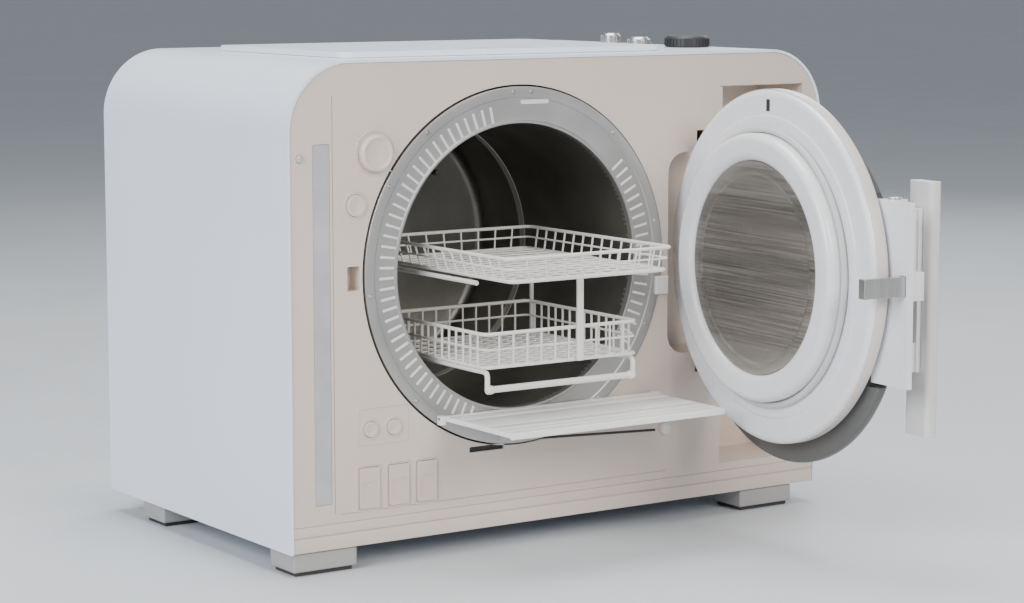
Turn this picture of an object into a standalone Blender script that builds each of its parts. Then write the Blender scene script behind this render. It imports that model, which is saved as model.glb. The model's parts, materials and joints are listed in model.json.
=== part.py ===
"""Benchtop steam autoclave with its round door standing open. Metres, +Z up.

Positions are written in casing coordinates: x from the casing's left side, y from its front
plane towards the back, z from its underside. The empty "machine_frame" carries them all and puts
the origin on the bench, under the middle of the open machine. The door's pieces are drawn as they
lie when the door is shut, and hang on the empty "door_pivot", which turns them to the open pose.
"""

import math

import bmesh
import bpy
from mathutils import Matrix, Vector

# ---------------------------------------------------------------- driving dimensions (metres)
GAP = 0.0003              # daylight between pieces that touch
RUNNING = 0.0003          # clearance of a pin in its bore
LAP = 0.001               # how far shapes that are joined reach into each other
EASE = 0.001              # room round a piece that passes through an opening
THROUGH = 0.1             # how far a cutter runs past what it cuts
ROUND_STEPS = 48          # facets round the chamber and the door

# Casing
CASE_W = 0.556
CASE_D = 0.334
CASE_H = 0.400
CASE_R = 0.058
SKIN = 0.0025
FASCIA_BACKSET = 0.0008
FASCIA_T = 0.003
SILL_H = 0.0215
SILL_D = 0.010
REAR_T = 0.0022
REAR_INSET = 0.001
TRAY_LIP = 0.012
TRAY_T = 0.002

# Feet
FOOT_H = 0.0195
FOOT_W = 0.060
FOOT_L = 0.040
FOOT_INSET_LEFT = 0.004
FOOT_INSET_RIGHT = 0.026
FOOT_INSET_FRONT = 0.003
FOOT_INSET_BACK = 0.058

# Chamber
CHAMBER_X = 0.223
CHAMBER_Z = 0.2225
CHAMBER_R = 0.121
CHAMBER_DEPTH = 0.240
VESSEL_T = 0.0025
RING_R = 0.152
RING_PROUD = 0.001
RING_T = 0.010
RING_GAP = 0.0015
RING_LIP = 0.004          # the vessel's seat inside the ring
JACKET_R = 0.140
JACKET_START = 0.022
JACKET_BACK_T = 0.012
CRADLE_HALF = 0.075
CRADLE_END = 0.020
CRADLE_DROP = 0.110

# Door and hinge
HINGE_X = 0.370
HINGE_Y = 0.025
DOOR_OPEN = math.radians(85)
DOOR_R = 0.150
DOOR_STANDOFF = 0.008     # shut door's flat face in front of the front plane
DOOR_T = 0.020
DOOR_LIP = 0.003          # bevel of the door's rim
BOSS_R = 0.1135
BOSS_REACH = 0.016
BOSS_BEND = 0.005
BOSS_SEAT = 0.006         # how deep the boss sits in the door plate
WINDOW_R = 0.0905
WINDOW_T = 0.005
WINDOW_SET = 0.004
GASKET_R = 0.1195
COVER_R = 0.150
COVER_DROP = 0.018
COVER_T = 0.0195
COVER_CHORD = 0.118
COVER_BEVEL_T = 0.010
COVER_BEVEL_R = 0.012
COVER_LATCH_X1 = 0.104    # where the cover stops beside the latch
LATCH_ROOM = 0.006
ARM_SPREAD = 0.100        # each arm above and below the chamber's axis
ARM_T = 0.008
ARM_R = 0.060
ARM_START = math.radians(-108)
ARM_END = math.radians(-10)
PIN_R = 0.004
KNUCKLE_R = 0.009
ARM_FOOT_T = 0.006
ARM_FOOT_X0 = 0.300
ARM_FOOT_X1 = 0.356
ARM_SLOT_X0 = 0.296       # the cover's slots for the arms
ARM_SLOT_T = 0.0075
SPOKE_IN = 0.0005
SPOKE_IN_HUB = 0.002
WEB_REACH = 0.0065        # the hinge bracket's web, its flanges and its back
WEB_T = 0.005
FLANGE_IN = 0.0080
FLANGE_OUT = 0.0090
BRACKET_Y1 = 0.038
PIN_OVER = 0.013

# Hinge bay in the front
BAY_X0 = 0.443
BAY_X1 = 0.535
BAY_Z0 = 0.0285
BAY_Z1 = 0.3685
BAY_DEPTH = 0.060
BITE_X0 = 0.383
BITE_HALF = 0.0895
BITE_R = 0.018
BITE_DEPTH = 0.040
NOTCH_X0 = 0.4145
NOTCH_HALF = 0.008
LINER_T = 0.0015
LINER_OVER = 0.002        # the lining past the opening's left edge
POCKET_EASE_X = 0.003
POCKET_EASE_Z = 0.0005

# Handle and latch (shut door)
HANDLE_X = 0.0872
HANDLE_W = 0.0298
HANDLE_T = 0.012
HANDLE_CORNER_R = 0.004
HANDLE_Z0 = 0.095
HANDLE_LEN = 0.208
HANDLE_REACH = 0.076      # front of the bar before the front plane
HANDLE_PIN_X = 0.088
HANDLE_PIN_Y = -0.040
HANDLE_PIN_R = 0.0035
HANDLE_KNUCKLE_R = 0.006
BRACKET_T = 0.008
BRACKET_Z0 = 0.2135
BRACKET_Z1 = 0.2815
LINK_Z0 = 0.148
LINK_Z1 = 0.172
LUG_T = 0.006
LUG_FRONT = 0.007
SPINE_OVER = 0.002
SPINE_T = 0.004
LUG_HALF = 0.008
LUG_PLAY = 0.002          # room between a lug and the handle's bracket
LATCH_X = 0.061
LATCH_W = 0.008
LATCH_H = 0.016
LATCH_REACH = 0.012
SLOT_EASE_X = 0.0018       # room round the tongue in the front's slot
SLOT_EASE_Z = 0.002
TONGUE_L = 0.016          # tongue in front of the latch plate
GUIDE_L = 0.0157
GUIDE_HALF_X = 0.0075
GUIDE_HALF_Z = 0.0115
LATCH_PLATE_T = 0.005
LATCH_PLATE_X0 = 0.053    # the latch housing's free edge
LATCH_PLATE_X1 = 0.100

# Trays on the rack
TRAY_WALL = 0.0025
TRAY_RIM = 0.004          # solid border of a tray's floor
WIRE_T = 0.003
SHELF_W = 0.168
SHELF_Z = 0.2225
SHELF_H = 0.022
SHELF_Y0 = -0.107
TRAYS_Y1 = 0.105
BASKET_W = 0.157
BASKET_Z0 = 0.148
BASKET_H = 0.030
BASKET_Y0 = -0.066
POST_X = 0.238
POST_T = 0.006
RACK_BAR = 0.005
RAIL_H = 0.004
SHELF_RAIL_OUT = 0.0025   # the shelf's rails outside its sides
RACK_Z0 = 0.1285
RACK_HALF = 0.0750
RAIL_INSET = 0.002        # the basket's rails inside its sides

# Drop shelf in front of the opening
DROP_X0 = 0.1455
DROP_X1 = 0.364
DROP_REACH = 0.101
DROP_T = 0.004
DROP_AXIS_Y = -0.004
DROP_BARREL_R = 0.0025
DROP_ROD_R = 0.0012
DROP_BRACKET_W = 0.005
DROP_BRACKET_FRONT = 0.003
DROP_BRACKET_DOWN = 0.005

# Controls
KEY_TRAVEL = 0.0012
KEY_PROUD = KEY_TRAVEL + 0.0002   # a pressed key still stands proud
KEY_DEPTH = 0.011
KEY_GAP = 0.0004
KEYS = {                  # centre x, centre z, width, height
    "program_key_1": (0.0745, 0.0480, 0.019, 0.034),
    "program_key_2": (0.1030, 0.0480, 0.019, 0.034),
    "program_key_3": (0.1305, 0.0480, 0.019, 0.034),
}
ROUND_KEYS = {            # centre x, centre z, radius
    "start_key": (0.0640, 0.2820, 0.0090),
    "minus_key": (0.0765, 0.0965, 0.0065),
    "plus_key": (0.0990, 0.0965, 0.0065),
}
KNOB_X = 0.0820
KNOB_Z = 0.3240
KNOB_R = 0.0155
KNOB_PROUD = 0.006
KNOB_SHAFT_R = 0.003
STRIP_X0 = 0.0235
STRIP_X1 = 0.0395
STRIP_Z0 = 0.038
STRIP_Z1 = 0.333
STRIP_T = 0.002
LENS_X = 0.0118
LENS_Z = 0.322
LENS_R = 0.0032
BOARD_Y = 0.016
BOARD_T = 0.0016
BOARD_X0 = 0.012
BOARD_X1 = 0.145
BOARD_Z0 = 0.028
BOARD_Z1 = 0.118

# Top and rear fittings
LID_X0 = 0.070
LID_X1 = 0.400
LID_Y0 = 0.030
LID_Y1 = 0.250
LID_T = 0.005
LID_R = 0.012
FILLER_X = 0.476
FILLER_Y = 0.095
FILLER_R = 0.021
FILLER_H = 0.010
NECK_R = 0.014
NECK_T = 0.002
NECK_DEEP = 0.010
PLUG_L = 0.010
TOP_CAPS = (              # name, x, y, radius, height
    ("relief_valve_cap", 0.438, 0.118, 0.011, 0.009),
    ("vent_cap", 0.470, 0.205, 0.010, 0.010),
)
TANK_X0 = 0.445
TANK_X1 = 0.533
TANK_Y0 = 0.070
TANK_Y1 = 0.300
TANK_T = 0.002
CLEAN_Z0 = 0.205
CLEAN_Z1 = 0.372
WASTE_Z0 = 0.020
WASTE_Z1 = 0.185
FAN_X = 0.130
FAN_Z = 0.300
FAN_SIDE = 0.080
FAN_R = 0.036
FAN_HUB_R = 0.014
FAN_T = 0.025
FAN_INSET = 0.003
FAN_CORNER_R = 0.004
BLADE_HALF_T = 0.0007
BLADE_HALF_L = 0.008
BLADE_IN = 0.002
BLADE_TIP_GAP = 0.0015
FAN_BLADES = 7
TAP_X = 0.490
TAP_Z = 0.052
TAP_R = 0.008
TAP_OUT = 0.020
LEVER_T = 0.004
LEVER_L = 0.028
LEVER_HALF = 0.004
LEVER_HUB_R = 0.005
LEVER_HUB_H = 0.006
TAP_IN = 0.010
TAP_WALL = 0.003
INLET_X = 0.100
INLET_Z = 0.060
INLET_W = 0.050
INLET_H = 0.030
INLET_IN = 0.018
INLET_OUT = 0.002
SOCKET_HALF_W = 0.013
SOCKET_HALF_H = 0.0095
SOCKET_DEEP = 0.014
PRONG_HALF_W = 0.001
PRONG_HALF_H = 0.002
PRONG_BACK = 0.002
PRONGS = ((-0.007, -0.002), (0.0, 0.003), (0.007, -0.002))   # across and up

# Behind the chamber
BEHIND_GAP = 0.008
BOILER_X = 0.105
BOILER_Z = 0.130
BOILER_R = 0.045
PUMP_X0 = 0.200
PUMP_X1 = 0.330
PUMP_Z1 = 0.075
PUMP_MOTOR_R = 0.026
PUMP_MOTOR_END = 0.020
PUMP_MOTOR_L = 0.090
SUPPLY_X0 = 0.205
SUPPLY_X1 = 0.345
SUPPLY_Z0 = 0.135
SUPPLY_Z1 = 0.205

# ---------------------------------------------------------------- sizes that follow
RING_HOLE_R = RING_R + RING_GAP
DOOR_FACE = -DOOR_STANDOFF
DOOR_BACK = DOOR_FACE - DOOR_T
ARM_FOOT = DOOR_BACK - GAP
HANDLE_BACK = -HANDLE_REACH + HANDLE_T
FASCIA_BACK = FASCIA_BACKSET + FASCIA_T
REAR_Y0 = CASE_D - REAR_INSET - REAR_T
REAR_Y1 = CASE_D - REAR_INSET
LATCH_FACE = ARM_FOOT - LATCH_PLATE_T
OPEN_REACH = -(HINGE_Y + (LATCH_PLATE_X0 - HINGE_X) * math.sin(DOOR_OPEN)
               + (LATCH_FACE - HINGE_Y) * math.cos(DOOR_OPEN))
FRONT_Y = (OPEN_REACH - REAR_Y1 - TAP_OUT) / 2

parts = bpy.data.collections.new("benchtop_autoclave")
cutters = bpy.data.collections.new("cutters")


def material(name, colour, roughness, metallic=0.0):
    """A plain Principled BSDF."""
    made = bpy.data.materials.get(name) or bpy.data.materials.new(name)
    made.use_nodes = True
    shader = made.node_tree.nodes["Principled BSDF"]
    shader.inputs["Base Color"].default_value = (*colour, 1.0)
    shader.inputs["Roughness"].default_value = roughness
    shader.inputs["Metallic"].default_value = metallic
    return made


FINISHES = {
    "white_paint": ((0.80, 0.83, 0.86), 0.35, 0.0),
    "fascia_plastic": ((0.62, 0.57, 0.53), 0.45, 0.0),
    "door_white": ((0.78, 0.78, 0.79), 0.30, 0.0),
    "cover_grey": ((0.22, 0.22, 0.22), 0.45, 0.0),
    "steel": ((0.55, 0.55, 0.54), 0.28, 1.0),
    "ring_metal": ((0.50, 0.49, 0.48), 0.40, 1.0),
    "wire_steel": ((0.72, 0.71, 0.70), 0.25, 1.0),
    "rubber": ((0.60, 0.60, 0.58), 0.60, 0.0),
    "dark_plastic": ((0.10, 0.10, 0.11), 0.50, 0.0),
    "foot_grey": ((0.38, 0.37, 0.36), 0.60, 0.0),
    "smoke_window": ((0.42, 0.43, 0.46), 0.20, 0.0),
    "insulation": ((0.70, 0.68, 0.60), 0.80, 0.0),
    "circuit_board": ((0.05, 0.25, 0.12), 0.50, 0.0),
    "tank_plastic": ((0.75, 0.78, 0.80), 0.40, 0.0),
    "brass": ((0.70, 0.52, 0.25), 0.35, 1.0),
}


def empty(name, place, parent=None):
    made = bpy.data.objects.new(name, None)
    made.location = place
    made.parent = parent
    parts.objects.link(made)
    return made


def register(obj, finish, parent, cutter=False):
    """Puts an object drawn in casing coordinates under its parent, keeping it where it was drawn."""
    for held in list(obj.users_collection):
        held.objects.unlink(obj)
    (cutters if cutter else parts).objects.link(obj)
    obj.parent = parent
    obj.location -= drawn_from[parent.name]
    if cutter:
        obj.hide_render = True
        obj.display_type = "WIRE"
    elif finish:
        obj.data.materials.append(material(finish, *FINISHES[finish]))
    return obj


def mesh_object(name, shape, place=(0, 0, 0)):
    """An object from a bmesh, its normals facing out and its rounds shaded smooth."""
    bmesh.ops.recalc_face_normals(shape, faces=shape.faces)
    data = bpy.data.meshes.new(name)
    shape.to_mesh(data)
    shape.free()
    data.shade_smooth()
    data.set_sharp_from_angle(angle=math.radians(35))
    made = bpy.data.objects.new(name, data)
    made.location = place
    bpy.context.scene.collection.objects.link(made)
    return made


def box(name, low, high):
    """A block between two corners, its origin in its middle."""
    low, high = Vector(low), Vector(high)
    shape = bmesh.new()
    bmesh.ops.create_cube(shape, size=1.0, matrix=Matrix.Diagonal((*(high - low), 1.0)))
    return mesh_object(name, shape, (low + high) / 2)


def boxes(name, corners):
    """Several blocks in one mesh, for a cutter that makes a row of openings."""
    shape = bmesh.new()
    for low, high in corners:
        low, high = Vector(low), Vector(high)
        place = Matrix.Translation((low + high) / 2) @ Matrix.Diagonal((*(high - low), 1.0))
        bmesh.ops.create_cube(shape, size=1.0, matrix=place)
    return mesh_object(name, shape)


AXIS_TURN = {
    "X": Matrix.Rotation(math.pi / 2, 4, "Y"),
    "Y": Matrix.Rotation(-math.pi / 2, 4, "X"),
    "Z": Matrix.Identity(4),
}


def cylinder(name, start, axis, radius, length, segments=32):
    """A round bar from a point, running up the axis; its origin is on that axis."""
    shape = bmesh.new()
    turn = AXIS_TURN[axis] @ Matrix.Translation((0, 0, length / 2))
    bmesh.ops.create_cone(shape, cap_ends=True, segments=segments, radius1=radius,
                          radius2=radius, depth=length, matrix=turn)
    return mesh_object(name, shape, start)


def frozen(obj):
    """The object with its modifiers applied, or its curve made a mesh, welded and facing out."""
    bpy.context.view_layer.update()
    evaluated = obj.evaluated_get(bpy.context.evaluated_depsgraph_get())
    data = bpy.data.meshes.new_from_object(evaluated)
    shape = bmesh.new()
    shape.from_mesh(data)
    bmesh.ops.remove_doubles(shape, verts=shape.verts, dist=1e-6)
    name, place = obj.name, obj.matrix_world.copy()
    bpy.data.objects.remove(obj)
    bpy.data.meshes.remove(data)
    made = mesh_object(name, shape)
    made.name = name
    made.matrix_world = place
    return made


def turned(name, profile, place, steps=ROUND_STEPS):
    """A body turned about the Y axis through place. The profile is a closed loop of (radius, y)."""
    data = bpy.data.meshes.new(name)
    rims = [(radius, 0.0, along) for radius, along in profile]
    count = len(rims)
    data.from_pydata(rims, [(i, (i + 1) % count) for i in range(count)], [])
    made = bpy.data.objects.new(name, data)
    bpy.context.scene.collection.objects.link(made)
    screw = made.modifiers.new("turn", "SCREW")
    screw.steps = screw.render_steps = steps
    screw.use_merge_vertices = True
    screw.merge_threshold = 0.00005
    made.rotation_euler = (-math.pi / 2, 0, 0)
    made.location = place
    return frozen(made)


def arc(x, z, radius, start, end, count=8):
    """Points on an arc, in degrees."""
    turn = (math.radians(start + (end - start) * i / count) for i in range(count + 1))
    return [(x + radius * math.cos(a), z + radius * math.sin(a)) for a in turn]


def circle(x, z, radius, count=48):
    return arc(x, z, radius, 0, 360, count)[:-1]


def rounded_top(inset, bottom):
    """The casing's outline, set in by inset, from its lower left corner round to its lower right."""
    radius = CASE_R - inset
    left, right = inset + radius, CASE_W - inset - radius
    top = CASE_H - inset - radius
    return ([(inset, bottom)] + arc(left, top, radius, 180, 90)
            + arc(right, top, radius, 90, 0) + [(CASE_W - inset, bottom)])


def rectangle(x0, z0, x1, z1):
    return [(x0, z0), (x1, z0), (x1, z1), (x0, z1)]


def rounded_rectangle(x0, z0, x1, z1, radius, count=4):
    return (arc(x0 + radius, z0 + radius, radius, 180, 270, count)
            + arc(x1 - radius, z0 + radius, radius, 270, 360, count)
            + arc(x1 - radius, z1 - radius, radius, 0, 90, count)
            + arc(x0 + radius, z1 - radius, radius, 90, 180, count))


def plate(name, outlines, low, high, flat="XZ"):
    """A flat piece between two levels: the first outline is its edge and the rest are openings."""
    curve = bpy.data.curves.new(name, "CURVE")
    curve.dimensions = "2D"
    curve.fill_mode = "BOTH"
    curve.extrude = (high - low) / 2
    for outline in outlines:
        spline = curve.splines.new("POLY")
        spline.points.add(len(outline) - 1)
        for point, (across, up) in zip(spline.points, outline):
            point.co = (across, up, 0, 1)
        spline.use_cyclic_u = True
    made = bpy.data.objects.new(name, curve)
    bpy.context.scene.collection.objects.link(made)
    middle = (low + high) / 2
    if flat == "XZ":
        made.rotation_euler = (math.pi / 2, 0, 0)
        made.location = (0, middle, 0)
    else:
        made.location = (0, 0, middle)
    return frozen(made)


def combine(obj, others, operation, parent):
    """Booleans, in order, with pieces that stay as hidden cutters. Both sides are drawn alike."""
    for other in others:
        step = obj.modifiers.new(other.name, "BOOLEAN")
        step.operation = operation
        step.solver = "EXACT"
        step.object = register(other, None, parent, cutter=True)
    return obj


# ---------------------------------------------------------------- casing
def build_casing(root):
    outline = rounded_top(0, 0) + rounded_top(SKIN, 0)[::-1]
    shell = register(plate("casing_shell", [outline], 0, CASE_D), "white_paint", root)
    hole = cylinder("filler_hole", (FILLER_X, FILLER_Y, CASE_H - 3 * SKIN), "Z",
                    NECK_R + NECK_T + KEY_GAP, 6 * SKIN)
    combine(shell, [hole], "DIFFERENCE", root)

    inset = SKIN + GAP
    rear = [rounded_top(inset, GAP), circle(FAN_X, FAN_Z, FAN_R + EASE, 32),
            rectangle(INLET_X - INLET_W / 2 - GAP, INLET_Z - INLET_H / 2 - GAP,
                      INLET_X + INLET_W / 2 + GAP, INLET_Z + INLET_H / 2 + GAP),
            circle(TAP_X, TAP_Z, TAP_R + GAP, 16)]
    register(plate("rear_panel", rear, REAR_Y0, REAR_Y1), "white_paint", root)

    sill = box("base_sill", (inset, FASCIA_BACKSET, GAP), (CASE_W - inset, SILL_D, SILL_H))
    register(sill, "fascia_plastic", root)

    front, back = SILL_D + GAP, REAR_Y0 - GAP
    tray = register(box("base_tray", (inset, front, GAP), (CASE_W - inset, back, TRAY_LIP)),
                    "white_paint", root)
    hollow = box("tray_hollow", (inset + TRAY_T, front + TRAY_T, GAP + TRAY_T),
                 (CASE_W - inset - TRAY_T, back - TRAY_T, 2 * TRAY_LIP))
    combine(tray, [hollow], "DIFFERENCE", root)

    lid = rounded_rectangle(LID_X0, LID_Y0, LID_X1, LID_Y1, LID_R)
    register(plate("top_lid", [lid], CASE_H + GAP, CASE_H + LID_T, "XY"), "white_paint", root)


def bay_outline():
    """The hinge bay's opening with, on its left, the bite for the door's edge and the arms."""
    low, high = CHAMBER_Z - BITE_HALF, CHAMBER_Z + BITE_HALF
    arms = ARM_SPREAD + NOTCH_HALF
    return ([(BAY_X0, BAY_Z0), (BAY_X1, BAY_Z0), (BAY_X1, BAY_Z1), (BAY_X0, BAY_Z1),
             (BAY_X0, CHAMBER_Z + arms), (NOTCH_X0, CHAMBER_Z + arms), (NOTCH_X0, high)]
            + arc(BITE_X0 + BITE_R, high - BITE_R, BITE_R, 90, 180, 6)
            + arc(BITE_X0 + BITE_R, low + BITE_R, BITE_R, 180, 270, 6)
            + [(NOTCH_X0, low), (NOTCH_X0, CHAMBER_Z - arms), (BAY_X0, CHAMBER_Z - arms)])


def build_front(root):
    inset = SKIN + GAP
    latch_x, latch_z = LATCH_W / 2 + SLOT_EASE_X, LATCH_H / 2 + SLOT_EASE_Z
    openings = [
        circle(CHAMBER_X, CHAMBER_Z, RING_HOLE_R, ROUND_STEPS),
        bay_outline(),
        rectangle(STRIP_X0, STRIP_Z0, STRIP_X1, STRIP_Z1),
        circle(LENS_X, LENS_Z, LENS_R + GAP, 16),
        circle(KNOB_X, KNOB_Z, KNOB_SHAFT_R + KEY_GAP, 16),
        rectangle(LATCH_X - latch_x, CHAMBER_Z - latch_z, LATCH_X + latch_x, CHAMBER_Z + latch_z),
    ]
    for x, z, width, height in KEYS.values():
        openings.append(rectangle(x - width / 2 - KEY_GAP, z - height / 2 - KEY_GAP,
                                  x + width / 2 + KEY_GAP, z + height / 2 + KEY_GAP))
    for x, z, radius in ROUND_KEYS.values():
        openings.append(circle(x, z, radius + KEY_GAP, 24))
    fascia = plate("front_fascia", [rounded_top(inset, SILL_H + GAP)] + openings,
                   FASCIA_BACKSET, FASCIA_BACK)
    register(fascia, "fascia_plastic", root)

    strip = box("level_window", (STRIP_X0 + GAP, FASCIA_BACKSET + GAP, STRIP_Z0 + GAP),
                (STRIP_X1 - GAP, FASCIA_BACKSET + GAP + STRIP_T, STRIP_Z1 - GAP))
    register(strip, "smoke_window", root)
    lens = cylinder("indicator_lens", (LENS_X, 0, LENS_Z), "Y", LENS_R, FASCIA_BACK, 24)
    register(lens, "smoke_window", root)

    front = FASCIA_BACK + GAP
    bay_back, bite_back = front + BAY_DEPTH, front + BITE_DEPTH
    half = BITE_HALF + POCKET_EASE_Z
    wall = LINER_T
    left = BAY_X0 - LINER_OVER
    liner = register(box("hinge_bay_liner", (left - wall, front, BAY_Z0 - wall),
                         (BAY_X1 + wall, bay_back + wall, BAY_Z1 + wall)), "fascia_plastic", root)
    pocket = box("pocket_outside", (BITE_X0 - POCKET_EASE_X - wall, front, CHAMBER_Z - half - wall),
                 (left + wall, bite_back + wall, CHAMBER_Z + half + wall))
    combine(liner, [pocket], "UNION", root)
    bay_hollow = box("bay_hollow", (left, front - wall, BAY_Z0), (BAY_X1, bay_back, BAY_Z1))
    pocket_hollow = box("pocket_hollow", (BITE_X0 - POCKET_EASE_X, front - wall, CHAMBER_Z - half),
                        (left + 2 * wall, bite_back, CHAMBER_Z + half))
    combine(liner, [bay_hollow, pocket_hollow], "DIFFERENCE", root)


def build_feet(root):
    left = (FOOT_INSET_LEFT, FOOT_INSET_LEFT + FOOT_W)
    right = (CASE_W - FOOT_INSET_RIGHT - FOOT_W, CASE_W - FOOT_INSET_RIGHT)
    front = (FOOT_INSET_FRONT, FOOT_INSET_FRONT + FOOT_L)
    back = (CASE_D - FOOT_INSET_BACK - FOOT_L, CASE_D - FOOT_INSET_BACK)
    for side, (x0, x1) in (("left", left), ("right", right)):
        for end, (y0, y1) in (("front", front), ("back", back)):
            foot = box(f"foot_{end}_{side}", (x0, y0, -FOOT_H), (x1, y1, -GAP))
            register(foot, "foot_grey", root)


# ---------------------------------------------------------------- chamber
def build_chamber(root):
    centre = (CHAMBER_X, 0, CHAMBER_Z)
    ring_back = RING_T - RING_PROUD
    outside = CHAMBER_R + VESSEL_T
    ring = [(RING_R, -RING_PROUD), (RING_R, ring_back), (outside + GAP, ring_back),
            (outside + GAP, ring_back - RING_LIP), (CHAMBER_R, ring_back - RING_LIP),
            (CHAMBER_R, -RING_PROUD)]
    register(turned("chamber_ring", ring, centre), "ring_metal", root)

    front, back = ring_back - RING_LIP + GAP, CHAMBER_DEPTH
    shell = [(CHAMBER_R, front), (CHAMBER_R, back), (0.0, back), (0.0, back + VESSEL_T),
             (outside, back + VESSEL_T), (outside, front)]
    register(turned("chamber_vessel", shell, centre), "steel", root)

    back += VESSEL_T + GAP
    jacket = [(outside + GAP, JACKET_START), (outside + GAP, back), (0.0, back),
              (0.0, back + JACKET_BACK_T), (JACKET_R, back + JACKET_BACK_T),
              (JACKET_R, JACKET_START)]
    register(turned("insulation_jacket", jacket, centre), "insulation", root)

    low = (CHAMBER_X - CRADLE_HALF, JACKET_START + CRADLE_END, TRAY_T + 2 * GAP)
    high = (CHAMBER_X + CRADLE_HALF, CHAMBER_DEPTH - CRADLE_END, CHAMBER_Z - CRADLE_DROP)
    cradle = register(box("chamber_cradle", low, high), "white_paint", root)
    bed = cylinder("cradle_bed", (CHAMBER_X, 0, CHAMBER_Z), "Y", JACKET_R + GAP, CASE_D, 48)
    combine(cradle, [bed], "DIFFERENCE", root)


# ---------------------------------------------------------------- door
def build_door(pivot):
    centre = (CHAMBER_X, 0, CHAMBER_Z)
    face, back = DOOR_FACE, DOOR_BACK
    lip = DOOR_LIP
    seat = BOSS_R + GAP
    disc = [(seat, face), (DOOR_R - lip, face), (DOOR_R, face - lip), (DOOR_R, back + lip),
            (DOOR_R - lip, back), (WINDOW_R, back), (WINDOW_R, face - BOSS_SEAT),
            (seat, face - BOSS_SEAT)]
    register(turned("door_plate", disc, centre), "door_white", pivot)

    tip = face + BOSS_REACH
    seat_back = face - BOSS_SEAT + GAP
    boss = ([(BOSS_R, seat_back)] + arc(BOSS_R - BOSS_BEND, tip - BOSS_BEND, BOSS_BEND, 0, 90, 2)
            + arc(WINDOW_R + BOSS_BEND, tip - BOSS_BEND, BOSS_BEND, 90, 180, 2)
            + [(WINDOW_R, seat_back)])
    register(turned("door_boss", boss, centre), "door_white", pivot)

    radius = (GASKET_R - BOSS_R - 2 * GAP) / 2
    gasket = circle(BOSS_R + GAP + radius, face + GAP + radius, radius, 6)
    register(turned("door_gasket", gasket, centre), "rubber", pivot)

    window = cylinder("door_window", (CHAMBER_X, tip - WINDOW_SET - WINDOW_T, CHAMBER_Z), "Y",
                      WINDOW_R - GAP, WINDOW_T, ROUND_STEPS)
    register(window, "steel", pivot)

    cover_back, cover_front = back - GAP, back - GAP - COVER_T
    drop = CHAMBER_Z - COVER_DROP
    rim = [(COVER_R, cover_back), (COVER_R, cover_front + COVER_BEVEL_T),
           (COVER_R - COVER_BEVEL_R, cover_front),
           (0.0, cover_front), (0.0, cover_back)]
    cover = register(turned("door_cover", rim, (CHAMBER_X, 0, drop)), "cover_grey", pivot)
    deep = (cover_front - THROUGH, cover_back + THROUGH)
    cuts = [box("cover_chord", (CHAMBER_X + COVER_CHORD, deep[0], -THROUGH), (CASE_W, deep[1], CASE_H)),
            box("cover_latch_side", (-THROUGH, deep[0], LINK_Z0 - LUG_T - LATCH_ROOM),
                (COVER_LATCH_X1, deep[1], BRACKET_Z1 + LUG_T + LATCH_ROOM))]
    for sign in (1, -1):
        z = CHAMBER_Z + sign * ARM_SPREAD
        cuts.append(box(f"cover_arm_{sign}", (ARM_SLOT_X0, cover_back - ARM_SLOT_T, z - ARM_T / 2 - EASE),
                        (CASE_W, deep[1], z + ARM_T / 2 + EASE)))
    combine(cover, cuts, "DIFFERENCE", pivot)


def arm_outline():
    """Seen from above, shut: knuckle, spoke, the arc about the hinge axis, and the foot."""
    half = ARM_T / 2
    outer = arc(HINGE_X, HINGE_Y, ARM_R + half, math.degrees(ARM_END),
                math.degrees(ARM_START), 16)
    inner = arc(HINGE_X, HINGE_Y, ARM_R - half, math.degrees(ARM_START),
                math.degrees(ARM_END), 16)
    return outer, inner


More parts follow.
